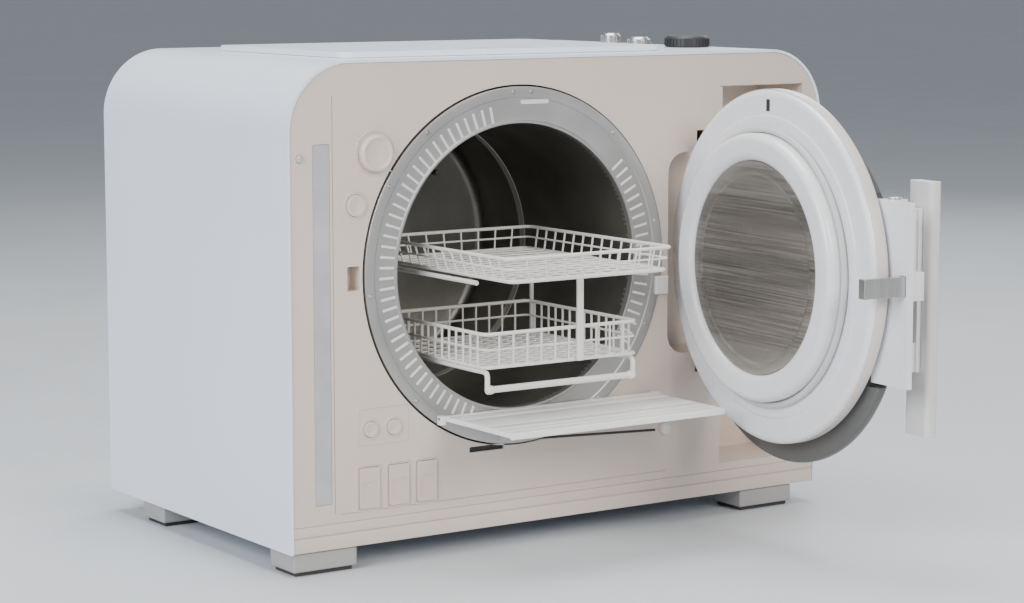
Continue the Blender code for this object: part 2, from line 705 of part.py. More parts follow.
def build_hinge(root, pivot):
    half = ARM_T / 2
    outer, inner = arm_outline()
    foot_y = ARM_FOOT - ARM_FOOT_T
    spoke = Vector((math.cos(ARM_END), math.sin(ARM_END)))
    side = Vector((-spoke.y, spoke.x)) * half
    hub = Vector((HINGE_X, HINGE_Y))
    for name, sign in (("upper", 1), ("lower", -1)):
        z = CHAMBER_Z + sign * ARM_SPREAD
        low, high = z - half, z + half
        arm = plate(f"hinge_arm_{name}", [outer + inner], low, high, "XY")
        register(arm, "steel", pivot)
        tip = hub + spoke * (ARM_R + half - SPOKE_IN)
        start = hub + spoke * (KNUCKLE_R - SPOKE_IN_HUB)
        bar = [start + side, start - side, tip - side, tip + side]
        joins = [
            plate(f"spoke_{name}", [[tuple(p) for p in bar]], low, high, "XY"),
            cylinder(f"knuckle_{name}", (HINGE_X, HINGE_Y, low), "Z", KNUCKLE_R, ARM_T, 24),
            box(f"arm_foot_{name}", (ARM_FOOT_X0, foot_y, low), (ARM_FOOT_X1, ARM_FOOT, high)),
        ]
        combine(arm, joins, "UNION", pivot)
        bore = cylinder(f"arm_bore_{name}", (HINGE_X, HINGE_Y, low - half), "Z",
                        PIN_R + RUNNING, 2 * ARM_T, 24)
        combine(arm, [bore], "DIFFERENCE", pivot)

        web_x = HINGE_X - KNUCKLE_R - WEB_REACH
        bracket_low, bracket_high = z - FLANGE_IN, z + FLANGE_OUT
        if sign < 0:
            bracket_low, bracket_high = z - FLANGE_OUT, z + FLANGE_IN
        bracket = box(f"hinge_bracket_{name}", (web_x, FASCIA_BACK + GAP, bracket_low),
                      (BITE_X0, BRACKET_Y1, bracket_high))
        register(bracket, "steel", root)
        slot = box(f"bracket_slot_{name}", (web_x + WEB_T, -THROUGH, low - EASE),
                   (CASE_W, THROUGH, high + EASE))
        hole = cylinder(f"bracket_bore_{name}", (HINGE_X, HINGE_Y, z - THROUGH / 2), "Z",
                        PIN_R + RUNNING, THROUGH, 24)
        combine(bracket, [slot, hole], "DIFFERENCE", root)
    reach = ARM_SPREAD + PIN_OVER
    pin = cylinder("hinge_pin", (HINGE_X, HINGE_Y, CHAMBER_Z - reach), "Z", PIN_R, 2 * reach, 24)
    register(pin, "steel", root)


def build_handle(pivot, handle_pivot):
    back = ARM_FOOT
    low, high = LINK_Z0 - LUG_T - LUG_PLAY, BRACKET_Z1 + LUG_T + LUG_PLAY
    housing = register(box("latch_housing", (LATCH_PLATE_X0, LATCH_FACE, low),
                           (LATCH_PLATE_X1, back, high)), "door_white", pivot)
    lug_x = (HANDLE_PIN_X - LUG_HALF, HANDLE_PIN_X + LUG_HALF)
    lug_y = (HANDLE_PIN_Y - LUG_FRONT, back - LATCH_PLATE_T / 2)
    joins = [box("lug_low", (lug_x[0], lug_y[0], low), (lug_x[1], lug_y[1], low + LUG_T)),
             box("lug_high", (lug_x[0], lug_y[0], high - LUG_T), (lug_x[1], lug_y[1], high)),
             box("tongue_guide", (LATCH_X - GUIDE_HALF_X, back - GUIDE_L, CHAMBER_Z - GUIDE_HALF_Z),
                 (LATCH_X + GUIDE_HALF_X, lug_y[1], CHAMBER_Z + GUIDE_HALF_Z))]
    combine(housing, joins, "UNION", pivot)
    slot = box("tongue_slot", (LATCH_X - LATCH_W / 2 - GAP, -THROUGH, CHAMBER_Z - LATCH_H / 2 - GAP),
               (LATCH_X + LATCH_W / 2 + GAP, THROUGH, CHAMBER_Z + LATCH_H / 2 + GAP))
    bore = cylinder("lug_bore", (HANDLE_PIN_X, HANDLE_PIN_Y, low - THROUGH), "Z",
                    HANDLE_PIN_R + RUNNING, high - low + 2 * THROUGH, 16)
    combine(housing, [slot, bore], "DIFFERENCE", pivot)

    pin = cylinder("handle_pin", (HANDLE_PIN_X, HANDLE_PIN_Y, low - LAP), "Z", HANDLE_PIN_R,
                   high - low + 2 * LAP, 16)
    register(pin, "steel", pivot)

    tongue = box("latch_tongue", (LATCH_X - LATCH_W / 2, back - TONGUE_L, CHAMBER_Z - LATCH_H / 2),
                 (LATCH_X + LATCH_W / 2, LATCH_REACH, CHAMBER_Z + LATCH_H / 2))
    register(tongue, "steel", pivot)

    half = BRACKET_T / 2
    to_bar = HANDLE_BACK + GAP
    bracket = cylinder("handle_bracket", (HANDLE_PIN_X, HANDLE_PIN_Y, BRACKET_Z0), "Z",
                       HANDLE_KNUCKLE_R, BRACKET_Z1 - BRACKET_Z0, 24)
    register(bracket, "door_white", handle_pivot)
    joins = [
        box("bracket_web", (HANDLE_PIN_X - half, to_bar, BRACKET_Z0),
            (HANDLE_PIN_X + half, HANDLE_PIN_Y, BRACKET_Z1)),
        box("bracket_spine", (HANDLE_PIN_X - half - SPINE_OVER, to_bar, LINK_Z0),
            (HANDLE_PIN_X + half + SPINE_OVER, to_bar + SPINE_T, BRACKET_Z1)),
        box("link_web", (HANDLE_PIN_X - half, to_bar, LINK_Z0),
            (HANDLE_PIN_X + half, HANDLE_PIN_Y, LINK_Z1)),
        cylinder("link_knuckle", (HANDLE_PIN_X, HANDLE_PIN_Y, LINK_Z0), "Z",
                 HANDLE_KNUCKLE_R, LINK_Z1 - LINK_Z0, 24),
    ]
    combine(bracket, joins, "UNION", handle_pivot)
    bore = cylinder("bracket_bore", (HANDLE_PIN_X, HANDLE_PIN_Y, 0), "Z",
                    HANDLE_PIN_R + RUNNING, CASE_H, 16)
    combine(bracket, [bore], "DIFFERENCE", handle_pivot)

    x0, x1 = HANDLE_X - HANDLE_W / 2, HANDLE_X + HANDLE_W / 2
    outline = rounded_rectangle(x0, -HANDLE_REACH, x1, HANDLE_BACK, HANDLE_CORNER_R)
    bar = plate("handle_bar", [outline], HANDLE_Z0, HANDLE_Z0 + HANDLE_LEN, "XY")
    register(bar, "door_white", handle_pivot)


# ---------------------------------------------------------------- trays and rack
def build_rack(root):
    middle = CHAMBER_X
    bar = RACK_BAR
    front, back = BASKET_Y0, TRAYS_Y1
    rail = BASKET_W / 2 - RAIL_INSET
    outer = SHELF_W / 2 + SHELF_RAIL_OUT
    rack_z1 = RACK_Z0 + bar
    under_basket, under_shelf = BASKET_Z0 - GAP, SHELF_Z - GAP
    frame = register(box("rack_frame", (middle - RACK_HALF, front, RACK_Z0),
                         (middle + RACK_HALF, front + bar, rack_z1)), "wire_steel", root)
    bar_z1 = under_basket - LAP
    joins = [box("rear_bar", (middle - outer, back - bar, bar_z1 - bar), (middle + outer, back, bar_z1))]
    for sign in (1, -1):
        x0, x1 = sorted((middle + sign * rail, middle + sign * (rail - bar)))
        o0, o1 = sorted((middle + sign * outer, middle + sign * (outer - bar)))
        joins += [
            box(f"leg_{sign}", (x0 + GAP, front + GAP, rack_z1 - LAP),
                (x1 - GAP, front + bar - GAP, under_basket - LAP)),
            box(f"basket_rail_{sign}", (x0, front, under_basket - RAIL_H), (x1, back - LAP, under_basket)),
            box(f"rear_post_{sign}", (o0 + GAP, back - bar + GAP, bar_z1 - LAP),
                (o1 - GAP, back - GAP, under_shelf - LAP)),
            box(f"shelf_rail_{sign}", (o0, front, under_shelf - RAIL_H), (o1, back, under_shelf)),
        ]
    combine(frame, joins, "UNION", root)


def build_trays(root):
    x0, x1 = CHAMBER_X - SHELF_W / 2, CHAMBER_X + SHELF_W / 2
    build_tray("upper_shelf", (x0, SHELF_Y0, SHELF_Z), (x1, TRAYS_Y1, SHELF_Z + SHELF_H), 6, 5, 6, root)

    x0, x1 = CHAMBER_X - BASKET_W / 2, CHAMBER_X + BASKET_W / 2
    back = TRAYS_Y1 - RACK_BAR - LAP
    basket = build_tray("lower_basket", (x0, BASKET_Y0, BASKET_Z0), (x1, back, BASKET_Z0 + BASKET_H),
                        6, 5, 5, root)
    front = BASKET_Y0 + LAP
    post = box("basket_post", (POST_X - POST_T / 2, front - POST_T, BASKET_Z0),
               (POST_X + POST_T / 2, front, SHELF_Z - 2 * GAP))
    combine(basket, [post], "UNION", root)


def build_tray(name, corner, far, across, along, bars, root):
    """A wire tray: a hollow box with windows between the upright wires and slots in its floor."""
    x0, y0, z0 = corner
    x1, y1, z1 = far
    wall = TRAY_WALL
    tray = register(box(name, corner, far), "wire_steel", root)
    hollow = box(f"{name}_hollow", (x0 + wall, y0 + wall, z0 + wall), (x1 - wall, y1 - wall, z1 + wall))
    low, high = z0 + 2 * wall, z1 - wall
    ends = boxes(f"{name}_end_windows", [((a, y0 - wall, low), (b, y1 + wall, high))
                                         for a, b in gaps_between_wires(x0 + wall, x1 - wall, across)])
    sides = boxes(f"{name}_side_windows", [((x0 - wall, a, low), (x1 + wall, b, high))
                                           for a, b in gaps_between_wires(y0 + wall, y1 - wall, along)])
    floor = slots(f"{name}_slots", x0, x1, y0, y1, z0, wall, bars)
    combine(tray, [hollow, ends, sides, floor], "DIFFERENCE", root)
    return tray


def slots(name, x0, x1, y0, y1, z, thick, count):
    """A row of openings between bars that run across, through a floor."""
    rim = TRAY_RIM
    return boxes(name, [((x0 + rim, a, z - thick), (x1 - rim, b, z + 2 * thick))
                        for a, b in gaps_between_wires(y0 + rim, y1 - rim, count)])


def gaps_between_wires(start, end, count):
    """Where each opening between upright wires starts and ends."""
    wire = WIRE_T
    pitch = (end - start - wire) / count
    return [(start + wire + i * pitch, start + (i + 1) * pitch) for i in range(count)]


def build_drop_shelf(root, fold):
    axis_z = CHAMBER_Z - CHAMBER_R - DROP_T / 2
    top, under = axis_z + DROP_T / 2, axis_z - DROP_T / 2
    y0 = DROP_AXIS_Y - DROP_REACH
    shelf = register(box("drop_shelf", (DROP_X0, y0, under), (DROP_X1, DROP_AXIS_Y, top)),
                     "door_white", fold)
    barrel = cylinder("shelf_barrel", (DROP_X0, DROP_AXIS_Y, axis_z), "X", DROP_BARREL_R,
                      DROP_X1 - DROP_X0, 16)
    combine(shelf, [barrel], "UNION", fold)
    start, end = DROP_X0 - DROP_BRACKET_W - EASE, DROP_X1 + DROP_BRACKET_W + EASE
    bore = cylinder("shelf_bore", (start, DROP_AXIS_Y, axis_z), "X", DROP_ROD_R + RUNNING,
                    end - start, 12)
    combine(shelf, [bore], "DIFFERENCE", fold)
    rod = cylinder("shelf_rod", (start, DROP_AXIS_Y, axis_z), "X", DROP_ROD_R, end - start, 12)
    register(rod, "steel", root)
    for name, x0 in (("left", start + EASE / 2), ("right", DROP_X1 + EASE / 2)):
        front = DROP_AXIS_Y - DROP_BRACKET_FRONT
        back = -RING_PROUD - GAP if name == "left" else FASCIA_BACKSET - GAP
        bracket = box(f"shelf_bracket_{name}", (x0, front, axis_z - DROP_BRACKET_DOWN),
                      (x0 + DROP_BRACKET_W, back, axis_z + DROP_BARREL_R))
        register(bracket, "door_white", root)
        hole = cylinder(f"shelf_bracket_bore_{name}", (x0 - THROUGH, DROP_AXIS_Y, axis_z), "X",
                        DROP_ROD_R + RUNNING, DROP_BRACKET_W + 2 * THROUGH, 12)
        combine(bracket, [hole], "DIFFERENCE", root)


# ---------------------------------------------------------------- controls
def build_controls(root):
    back = FASCIA_BACKSET - KEY_PROUD + KEY_DEPTH
    for name, (x, z, width, height) in KEYS.items():
        key = box(name, (x - width / 2, FASCIA_BACKSET - KEY_PROUD, z - height / 2),
                  (x + width / 2, back, z + height / 2))
        register(key, "fascia_plastic", root)
    for name, (x, z, radius) in ROUND_KEYS.items():
        key = cylinder(name, (x, FASCIA_BACKSET - KEY_PROUD, z), "Y", radius, KEY_DEPTH, 24)
        register(key, "fascia_plastic", root)
    knob_back = FASCIA_BACKSET - GAP
    knob = cylinder("selector_knob", (KNOB_X, knob_back - KNOB_PROUD, KNOB_Z), "Y", KNOB_R,
                    KNOB_PROUD, 32)
    register(knob, "fascia_plastic", root)
    shaft = cylinder("knob_shaft", (KNOB_X, knob_back - LAP, KNOB_Z), "Y", KNOB_SHAFT_R,
                     BOARD_Y - knob_back - LAP, 16)
    combine(knob, [shaft], "UNION", root)
    board = box("control_board", (BOARD_X0, BOARD_Y, BOARD_Z0), (BOARD_X1, BOARD_Y + BOARD_T, BOARD_Z1))
    register(board, "circuit_board", root)


# ---------------------------------------------------------------- tanks and machinery
def build_tank(root, name, z0, z1):
    tank = box(name, (TANK_X0, TANK_Y0, z0), (TANK_X1, TANK_Y1, z1))
    return register(tank, "tank_plastic", root)


def build_insides(root):
    clean = build_tank(root, "water_tank", CLEAN_Z0, CLEAN_Z1)
    neck_top = CASE_H - GAP
    neck = cylinder("tank_neck", (FILLER_X, FILLER_Y, CLEAN_Z1 - LAP), "Z", NECK_R + NECK_T,
                    neck_top - CLEAN_Z1 + LAP, 24)
    combine(clean, [neck], "UNION", root)
    hollow = box("tank_hollow", (TANK_X0 + TANK_T, TANK_Y0 + TANK_T, CLEAN_Z0 + TANK_T),
                 (TANK_X1 - TANK_T, TANK_Y1 - TANK_T, CLEAN_Z1 - TANK_T))
    bore = cylinder("neck_bore", (FILLER_X, FILLER_Y, CLEAN_Z1 - NECK_DEEP), "Z", NECK_R,
                    CASE_H - CLEAN_Z1 + 2 * NECK_DEEP, 24)
    combine(clean, [hollow, bore], "DIFFERENCE", root)
    build_tank(root, "waste_tank", WASTE_Z0, WASTE_Z1)

    behind = CHAMBER_DEPTH + VESSEL_T + JACKET_BACK_T + BEHIND_GAP
    far = REAR_Y0 - BEHIND_GAP
    floor = TRAY_T + 2 * GAP
    generator = cylinder("steam_generator", (BOILER_X, behind, BOILER_Z), "Y", BOILER_R, far - behind, 32)
    register(generator, "steel", root)
    pump = register(box("vacuum_pump", (PUMP_X0, behind, floor), (PUMP_X1, far, PUMP_Z1)),
                    "cover_grey", root)
    motor_r = min(PUMP_MOTOR_R, (far - behind) / 2 - LAP)
    motor = cylinder("pump_motor", (PUMP_X0 + PUMP_MOTOR_END, (behind + far) / 2, PUMP_Z1), "X",
                     motor_r, PUMP_MOTOR_L, 24)
    combine(pump, [motor], "UNION", root)
    supply = box("power_supply", (SUPPLY_X0, behind, SUPPLY_Z0), (SUPPLY_X1, far, SUPPLY_Z1))
    register(supply, "steel", root)


def build_fan(root):
    y1 = REAR_Y0 - GAP
    y0 = y1 - FAN_T
    half = FAN_SIDE / 2
    frame = plate("fan_frame", [rounded_rectangle(FAN_X - half, FAN_Z - half, FAN_X + half,
                                                  FAN_Z + half, FAN_CORNER_R), circle(FAN_X, FAN_Z, FAN_R)],
                  y0, y1)
    register(frame, "dark_plastic", root)
    rotor = cylinder("fan_rotor", (FAN_X, y0 + FAN_INSET, FAN_Z), "Y", FAN_HUB_R, FAN_T - 2 * FAN_INSET, 24)
    register(rotor, "dark_plastic", root)
    blades = []
    for i in range(FAN_BLADES):
        blade = box(f"blade_{i}", (-BLADE_HALF_T, -BLADE_HALF_L, FAN_HUB_R - BLADE_IN),
                    (BLADE_HALF_T, BLADE_HALF_L, FAN_R - BLADE_TIP_GAP))
        turn = Matrix.Rotation(math.tau * i / FAN_BLADES, 4, "Y")
        pitch = Matrix.Rotation(math.radians(35), 4, "Z")
        place = Matrix.Translation((FAN_X, y0 + FAN_T / 2, FAN_Z))
        blade.matrix_world = place @ turn @ pitch @ blade.matrix_basis
        blades.append(blade)
    combine(rotor, blades, "UNION", root)


def build_outside_fittings(root):
    top = CASE_H + GAP
    cap = cylinder("filler_cap", (FILLER_X, FILLER_Y, top), "Z", FILLER_R, FILLER_H, 32)
    register(cap, "dark_plastic", root)
    plug = cylinder("filler_plug", (FILLER_X, FILLER_Y, top - PLUG_L), "Z", NECK_R - 2 * GAP,
                    PLUG_L + LAP, 24)
    combine(cap, [plug], "UNION", root)
    for name, x, y, radius, tall in TOP_CAPS:
        register(cylinder(name, (x, y, top), "Z", radius, tall, 24), "steel", root)

    inlet = register(box("power_inlet", (INLET_X - INLET_W / 2, REAR_Y0 - INLET_IN, INLET_Z - INLET_H / 2),
                         (INLET_X + INLET_W / 2, REAR_Y1 + INLET_OUT, INLET_Z + INLET_H / 2)),
                     "dark_plastic", root)
    socket = box("inlet_socket", (INLET_X - SOCKET_HALF_W, REAR_Y0 - SOCKET_DEEP, INLET_Z - SOCKET_HALF_H),
                 (INLET_X + SOCKET_HALF_W, CASE_D + THROUGH, INLET_Z + SOCKET_HALF_H))
    combine(inlet, [socket], "DIFFERENCE", root)
    deep = REAR_Y0 - SOCKET_DEEP - LAP
    pins = [box(f"inlet_pin_{i}", (INLET_X + dx - PRONG_HALF_W, deep, INLET_Z + dz - PRONG_HALF_H),
                (INLET_X + dx + PRONG_HALF_W, REAR_Y0 - PRONG_BACK, INLET_Z + dz + PRONG_HALF_H))
            for i, (dx, dz) in enumerate(PRONGS)]
    combine(inlet, pins, "UNION", root)

    tap = cylinder("drain_tap", (TAP_X, REAR_Y0 - TAP_IN, TAP_Z), "Y", TAP_R,
                   REAR_Y1 - REAR_Y0 + TAP_IN + TAP_OUT, 24)
    register(tap, "brass", root)
    combine(tap, [cylinder("tap_bore", (TAP_X, REAR_Y0, TAP_Z), "Y", TAP_R - TAP_WALL,
                           THROUGH, 16)], "DIFFERENCE", root)
    y = REAR_Y1 + TAP_OUT / 2
    lever = cylinder("drain_lever", (TAP_X, y, TAP_Z + TAP_R + GAP), "Z", LEVER_HUB_R, LEVER_HUB_H, 16)
    register(lever, "dark_plastic", root)
    z = TAP_Z + TAP_R + GAP + LEVER_T
    grip = box("lever_grip", (TAP_X - LEVER_L, y - LEVER_HALF, z),
               (TAP_X + LEVER_HALF / 2, y + LEVER_HALF, z + LEVER_T))
    combine(lever, [grip], "UNION", root)


# ---------------------------------------------------------------- assembly
for old in list(bpy.data.objects):
    bpy.data.objects.remove(old)
bpy.context.scene.collection.children.link(parts)
bpy.context.scene.collection.children.link(cutters)

hinge_axis = Vector((HINGE_X, HINGE_Y, 0))
handle_axis = Vector((HANDLE_PIN_X, HANDLE_PIN_Y, 0))
shelf_axis = Vector((0, DROP_AXIS_Y, CHAMBER_Z - CHAMBER_R - DROP_T / 2))
drawn_from = {
    "machine_frame": Vector((0, 0, 0)),
    "door_pivot": hinge_axis,
    "handle_pivot": handle_axis,
    "shelf_pivot": shelf_axis,
}
machine = empty("machine_frame", (-CASE_W / 2, FRONT_Y, FOOT_H))
door_pivot = empty("door_pivot", hinge_axis, machine)
door_pivot.rotation_euler = (0, 0, DOOR_OPEN)
handle_pivot = empty("handle_pivot", handle_axis - hinge_axis, door_pivot)
shelf_pivot = empty("shelf_pivot", shelf_axis, machine)

build_casing(machine)
build_front(machine)
build_feet(machine)
build_chamber(machine)
build_door(door_pivot)
build_hinge(machine, door_pivot)
build_handle(door_pivot, handle_pivot)
build_rack(machine)
build_trays(machine)
build_drop_shelf(machine, shelf_pivot)
build_controls(machine)
build_insides(machine)
build_fan(machine)
build_outside_fittings(machine)
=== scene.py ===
"""The looks of a benchtop steam autoclave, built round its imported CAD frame. Metres, +Z up.

Housing pieces are placed in casing coordinates: x from the casing's left side, y from its front
plane towards the back, z from its underside. Door pieces are drawn as the door lies when it is
shut and are then turned open with it, so that round shapes stay simple profiles.
"""

import json
import math

import bmesh
import bpy
from mathutils import Matrix, Vector

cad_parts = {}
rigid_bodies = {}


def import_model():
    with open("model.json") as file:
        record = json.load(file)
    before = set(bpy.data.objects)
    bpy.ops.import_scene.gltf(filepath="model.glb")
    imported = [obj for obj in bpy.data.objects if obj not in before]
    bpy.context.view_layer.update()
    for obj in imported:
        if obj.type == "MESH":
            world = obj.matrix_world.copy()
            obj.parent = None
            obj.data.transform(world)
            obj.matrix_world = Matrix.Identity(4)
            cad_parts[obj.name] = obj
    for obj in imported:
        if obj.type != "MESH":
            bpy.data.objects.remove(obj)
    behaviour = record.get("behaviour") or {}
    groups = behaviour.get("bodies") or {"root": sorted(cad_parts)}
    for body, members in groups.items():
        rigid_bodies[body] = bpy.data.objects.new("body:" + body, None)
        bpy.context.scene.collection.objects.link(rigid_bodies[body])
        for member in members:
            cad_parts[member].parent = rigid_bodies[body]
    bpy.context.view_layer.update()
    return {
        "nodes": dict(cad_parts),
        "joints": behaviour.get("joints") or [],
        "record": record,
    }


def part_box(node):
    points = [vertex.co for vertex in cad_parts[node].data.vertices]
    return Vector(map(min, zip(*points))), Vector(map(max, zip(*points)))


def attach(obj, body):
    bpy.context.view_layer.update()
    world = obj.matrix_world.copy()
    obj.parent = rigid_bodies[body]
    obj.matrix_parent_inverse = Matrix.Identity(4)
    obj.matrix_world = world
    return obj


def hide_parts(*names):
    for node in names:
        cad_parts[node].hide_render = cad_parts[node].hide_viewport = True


for startup in list(bpy.data.objects):
    bpy.data.objects.remove(startup)
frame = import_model()

# ---- the frame's places
DOOR_HINGE = next(joint for joint in frame["joints"] if joint["name"] == "door_hinge")
CASE_LOW, CASE_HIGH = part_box("casing_shell")
CASE_W, CASE_D, CASE_H = CASE_HIGH - CASE_LOW
SWING = -math.radians(DOOR_HINGE["range_deg"][0])
TO_HINGE = Matrix.Translation(DOOR_HINGE["pos_m"])
OPEN_DOOR = TO_HINGE @ Matrix.Rotation(SWING, 4, "Z") @ TO_HINGE.inverted()
ON_CASE = Matrix.Translation(CASE_LOW)
ON_DOOR = OPEN_DOOR @ ON_CASE


def in_case(node):
    """A node's lowest and highest corners in casing coordinates."""
    low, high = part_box(node)
    return low - CASE_LOW, high - CASE_LOW


def in_shut_door(node):
    """The same for a piece of the door, as it lies when the door is shut."""
    back = OPEN_DOOR.inverted()
    points = [back @ v.co - CASE_LOW for v in frame["nodes"][node].data.vertices]
    low = Vector(min(p[i] for p in points) for i in range(3))
    high = Vector(max(p[i] for p in points) for i in range(3))
    return low, high


def round_node(node):
    """A round node's middle, radius, and lowest and highest corners in casing coordinates."""
    low, high = in_case(node)
    middle = tuple((a + b) / 2 for a, b in zip(low, high))
    return middle, (high.x - low.x) / 2, low, high


RING_LOW, RING_HIGH = in_case("chamber_ring")
CENTRE_X = (RING_LOW.x + RING_HIGH.x) / 2
CENTRE_Z = (RING_LOW.z + RING_HIGH.z) / 2
CENTRE = (CENTRE_X, 0, CENTRE_Z)
RING_R = (RING_HIGH.z - RING_LOW.z) / 2
VESSEL_LOW, VESSEL_HIGH = in_case("chamber_vessel")
WALL = 0.0025  # sheet thickness of the casing and the chamber
MOUTH_R = (VESSEL_HIGH.z - VESSEL_LOW.z) / 2 - WALL
CORNER_R = 0.058  # the casing's round upper edges
GAP = 0.0003  # between pieces that don't touch
FACE_Y = in_case("front_fascia")[0].y


# ---- materials
def node(tree, kind, place, **settings):
    made = tree.nodes.new(kind)
    made.location = place
    for key, value in settings.items():
        if key in made.inputs:
            made.inputs[key].default_value = value
        else:
            setattr(made, key, value)
    return made


def join(source, target):
    target.id_data.links.new(source, target)


def settle(made, values):
    """Sets a shader node's inputs by their names."""
    for name, value in values.items():
        made.inputs[name].default_value = value


def blank(name, colour, roughness, metallic):
    """A material with its Principled shader, its tree and coordinates on the object."""
    made = bpy.data.materials.new(name)
    made.use_nodes = True
    made.diffuse_color = (*colour, 1.0)
    tree = made.node_tree
    shader = tree.nodes["Principled BSDF"]
    settle(shader, {"Metallic": metallic, "Roughness": roughness})
    coords = node(tree, "ShaderNodeTexCoord", (-1200, 0))
    return made, tree, shader, coords.outputs["Object"]


def spread(tree, source, low, high, place):
    """A noise value, mapped from its middle range to two limits."""
    ranged = node(tree, "ShaderNodeMapRange", place)
    settle(ranged, {"From Min": 0.3, "From Max": 0.7, "To Min": low, "To Max": high})
    join(source, ranged.inputs["Value"])
    return ranged.outputs["Result"]


def two_tone(tree, shader, source, colour, contrast):
    """The base colour, darker and lighter by contrast as the source goes from 0 to 1."""
    mix = node(tree, "ShaderNodeMix", (-300, 200), data_type="RGBA")
    dark = [max(0.0, c * (1 - contrast)) for c in colour]
    light = [min(1.0, c * (1 + contrast)) for c in colour]
    settle(mix, {"A": (*dark, 1.0), "B": (*light, 1.0)})
    join(source, mix.inputs["Factor"])
    join(mix.outputs["Result"], shader.inputs["Base Color"])


def glossed(tree, shader, source, roughness, vary, place):
    """The roughness, smaller and larger by the shares in vary."""
    gloss = spread(tree, source, roughness * vary[0], roughness * vary[1], place)
    join(gloss, shader.inputs["Roughness"])


def bumped(tree, shader, height, strength, distance):
    bump = node(tree, "ShaderNodeBump", (-200, -250))
    settle(bump, {"Strength": strength, "Distance": distance})
    join(height, bump.inputs["Height"])
    join(bump.outputs["Normal"], shader.inputs["Normal"])


COAT_ROUGHNESS = 0.12
PAINT_GRAIN, METAL_GRAIN = 0.0003, 0.0002  # heights of the fine textures
PAINT_GLOSS, METAL_GLOSS = (0.85, 1.15), (0.8, 1.25)


def moulded(name, colour, roughness, contrast, grain, relief, coat=0.0, metallic=0.0,
            patches=7.0):
    """Paint or plastic: broad patches of tone, a fine texture, and a gloss that varies."""
    made, tree, shader, coords = blank(name, colour, roughness, metallic)
    settle(shader, {"Coat Weight": coat, "Coat Roughness": COAT_ROUGHNESS})
    broad = node(tree, "ShaderNodeTexNoise", (-900, 200), Scale=patches, Detail=5.0)
    fine = node(tree, "ShaderNodeTexNoise", (-900, -200), Scale=grain, Detail=3.0)
    smear = node(tree, "ShaderNodeTexNoise", (-900, 0), Scale=patches * 5, Detail=6.0)
    for noise in (broad, fine, smear):
        join(coords, noise.inputs["Vector"])
    tone = spread(tree, broad.outputs["Fac"], 0.0, 1.0, (-600, 200))
    two_tone(tree, shader, tone, colour, contrast)
    glossed(tree, shader, smear.outputs["Fac"], roughness, PAINT_GLOSS, (-600, 0))
    bumped(tree, shader, fine.outputs["Fac"], relief, PAINT_GRAIN)
    return made


def stretched(tree, coords, scale, detail, y):
    """Noise at its own scale on each axis."""
    stretch = node(tree, "ShaderNodeMapping", (-1000, y))
    settle(stretch, {"Scale": scale})
    noise = node(tree, "ShaderNodeTexNoise", (-800, y), Scale=1.0, Detail=detail)
    join(coords, stretch.inputs["Vector"])
    join(stretch.outputs["Vector"], noise.inputs["Vector"])
    return noise.outputs["Fac"]


def brushed(name, colour, roughness, along, contrast=0.10, relief=0.10, bands=None):
    """Metal with straight brush lines; along and bands hold a noise's scale on each axis."""
    made, tree, shader, coords = blank(name, colour, roughness, 1.0)
    settle(shader, {"Anisotropic": 0.5})
    lines = stretched(tree, coords, along, 4.0, 0)
    tone = spread(tree, lines, 0.0, 1.0, (-600, 0))
    if bands:
        wash = stretched(tree, coords, bands, 3.0, 300)
        both = node(tree, "ShaderNodeMath", (-500, 250), operation="MULTIPLY")
        join(tone, both.inputs[0])
        join(spread(tree, wash, 0.2, 1.6, (-600, 300)), both.inputs[1])
        tone = both.outputs["Value"]
    two_tone(tree, shader, tone, colour, contrast)
    glossed(tree, shader, lines, roughness, METAL_GLOSS, (-600, -150))
    bumped(tree, shader, lines, relief, METAL_GRAIN)
    return made


def painted_reflection_bands(made, light, upper, lower):
    """Painted reflection: lighter bands across a pane, above one height on it and below another."""
    tree = made.node_tree
    shader = tree.nodes["Principled BSDF"]
    under = shader.inputs["Base Color"].links[0].from_socket
    coords = node(tree, "ShaderNodeTexCoord", (-1200, 700))
    split = node(tree, "ShaderNodeSeparateXYZ", (-1000, 700))
    join(coords.outputs["Object"], split.inputs["Vector"])
    for start, end in (upper, lower):
        ramp = node(tree, "ShaderNodeMapRange", (-700, 700), interpolation_type="SMOOTHSTEP")
        settle(ramp, {"From Min": start, "From Max": end, "To Max": 0.55})
        join(split.outputs["Z"], ramp.inputs["Value"])
        mix = node(tree, "ShaderNodeMix", (-150, 500), data_type="RGBA")
        mix.inputs["B"].default_value = (*light, 1.0)
        join(ramp.outputs["Result"], mix.inputs["Factor"])
        join(under, mix.inputs["A"])
        under = mix.outputs["Result"]
    join(under, shader.inputs["Base Color"])


def spun(name, colour, roughness, pitch=1400.0, contrast=0.12):
    """Metal turned about the piece's Y axis: fine rings, and a cloudy tone over them."""
    made, tree, shader, coords = blank(name, colour, roughness, 1.0)
    settle(shader, {"Anisotropic": 0.3})
    flat = node(tree, "ShaderNodeMapping", (-1000, 0))
    settle(flat, {"Scale": (1.0, 0.0, 1.0)})
    radius = node(tree, "ShaderNodeVectorMath", (-850, 0), operation="LENGTH")
    rings = node(tree, "ShaderNodeTexNoise", (-650, 0), noise_dimensions="1D")
    settle(rings, {"Scale": pitch, "Detail": 3.0})
    cloud = node(tree, "ShaderNodeTexNoise", (-650, 300), Scale=14.0, Detail=5.0)
    join(coords, flat.inputs["Vector"])
    join(flat.outputs["Vector"], radius.inputs[0])
    join(radius.outputs["Value"], rings.inputs["W"])
    join(coords, cloud.inputs["Vector"])
    tone = spread(tree, cloud.outputs["Fac"], 0.0, 1.0, (-450, 300))
    two_tone(tree, shader, tone, colour, contrast)
    glossed(tree, shader, rings.outputs["Fac"], roughness, METAL_GLOSS, (-450, 0))
    bumped(tree, shader, rings.outputs["Fac"], 0.12, METAL_GRAIN)
    return made


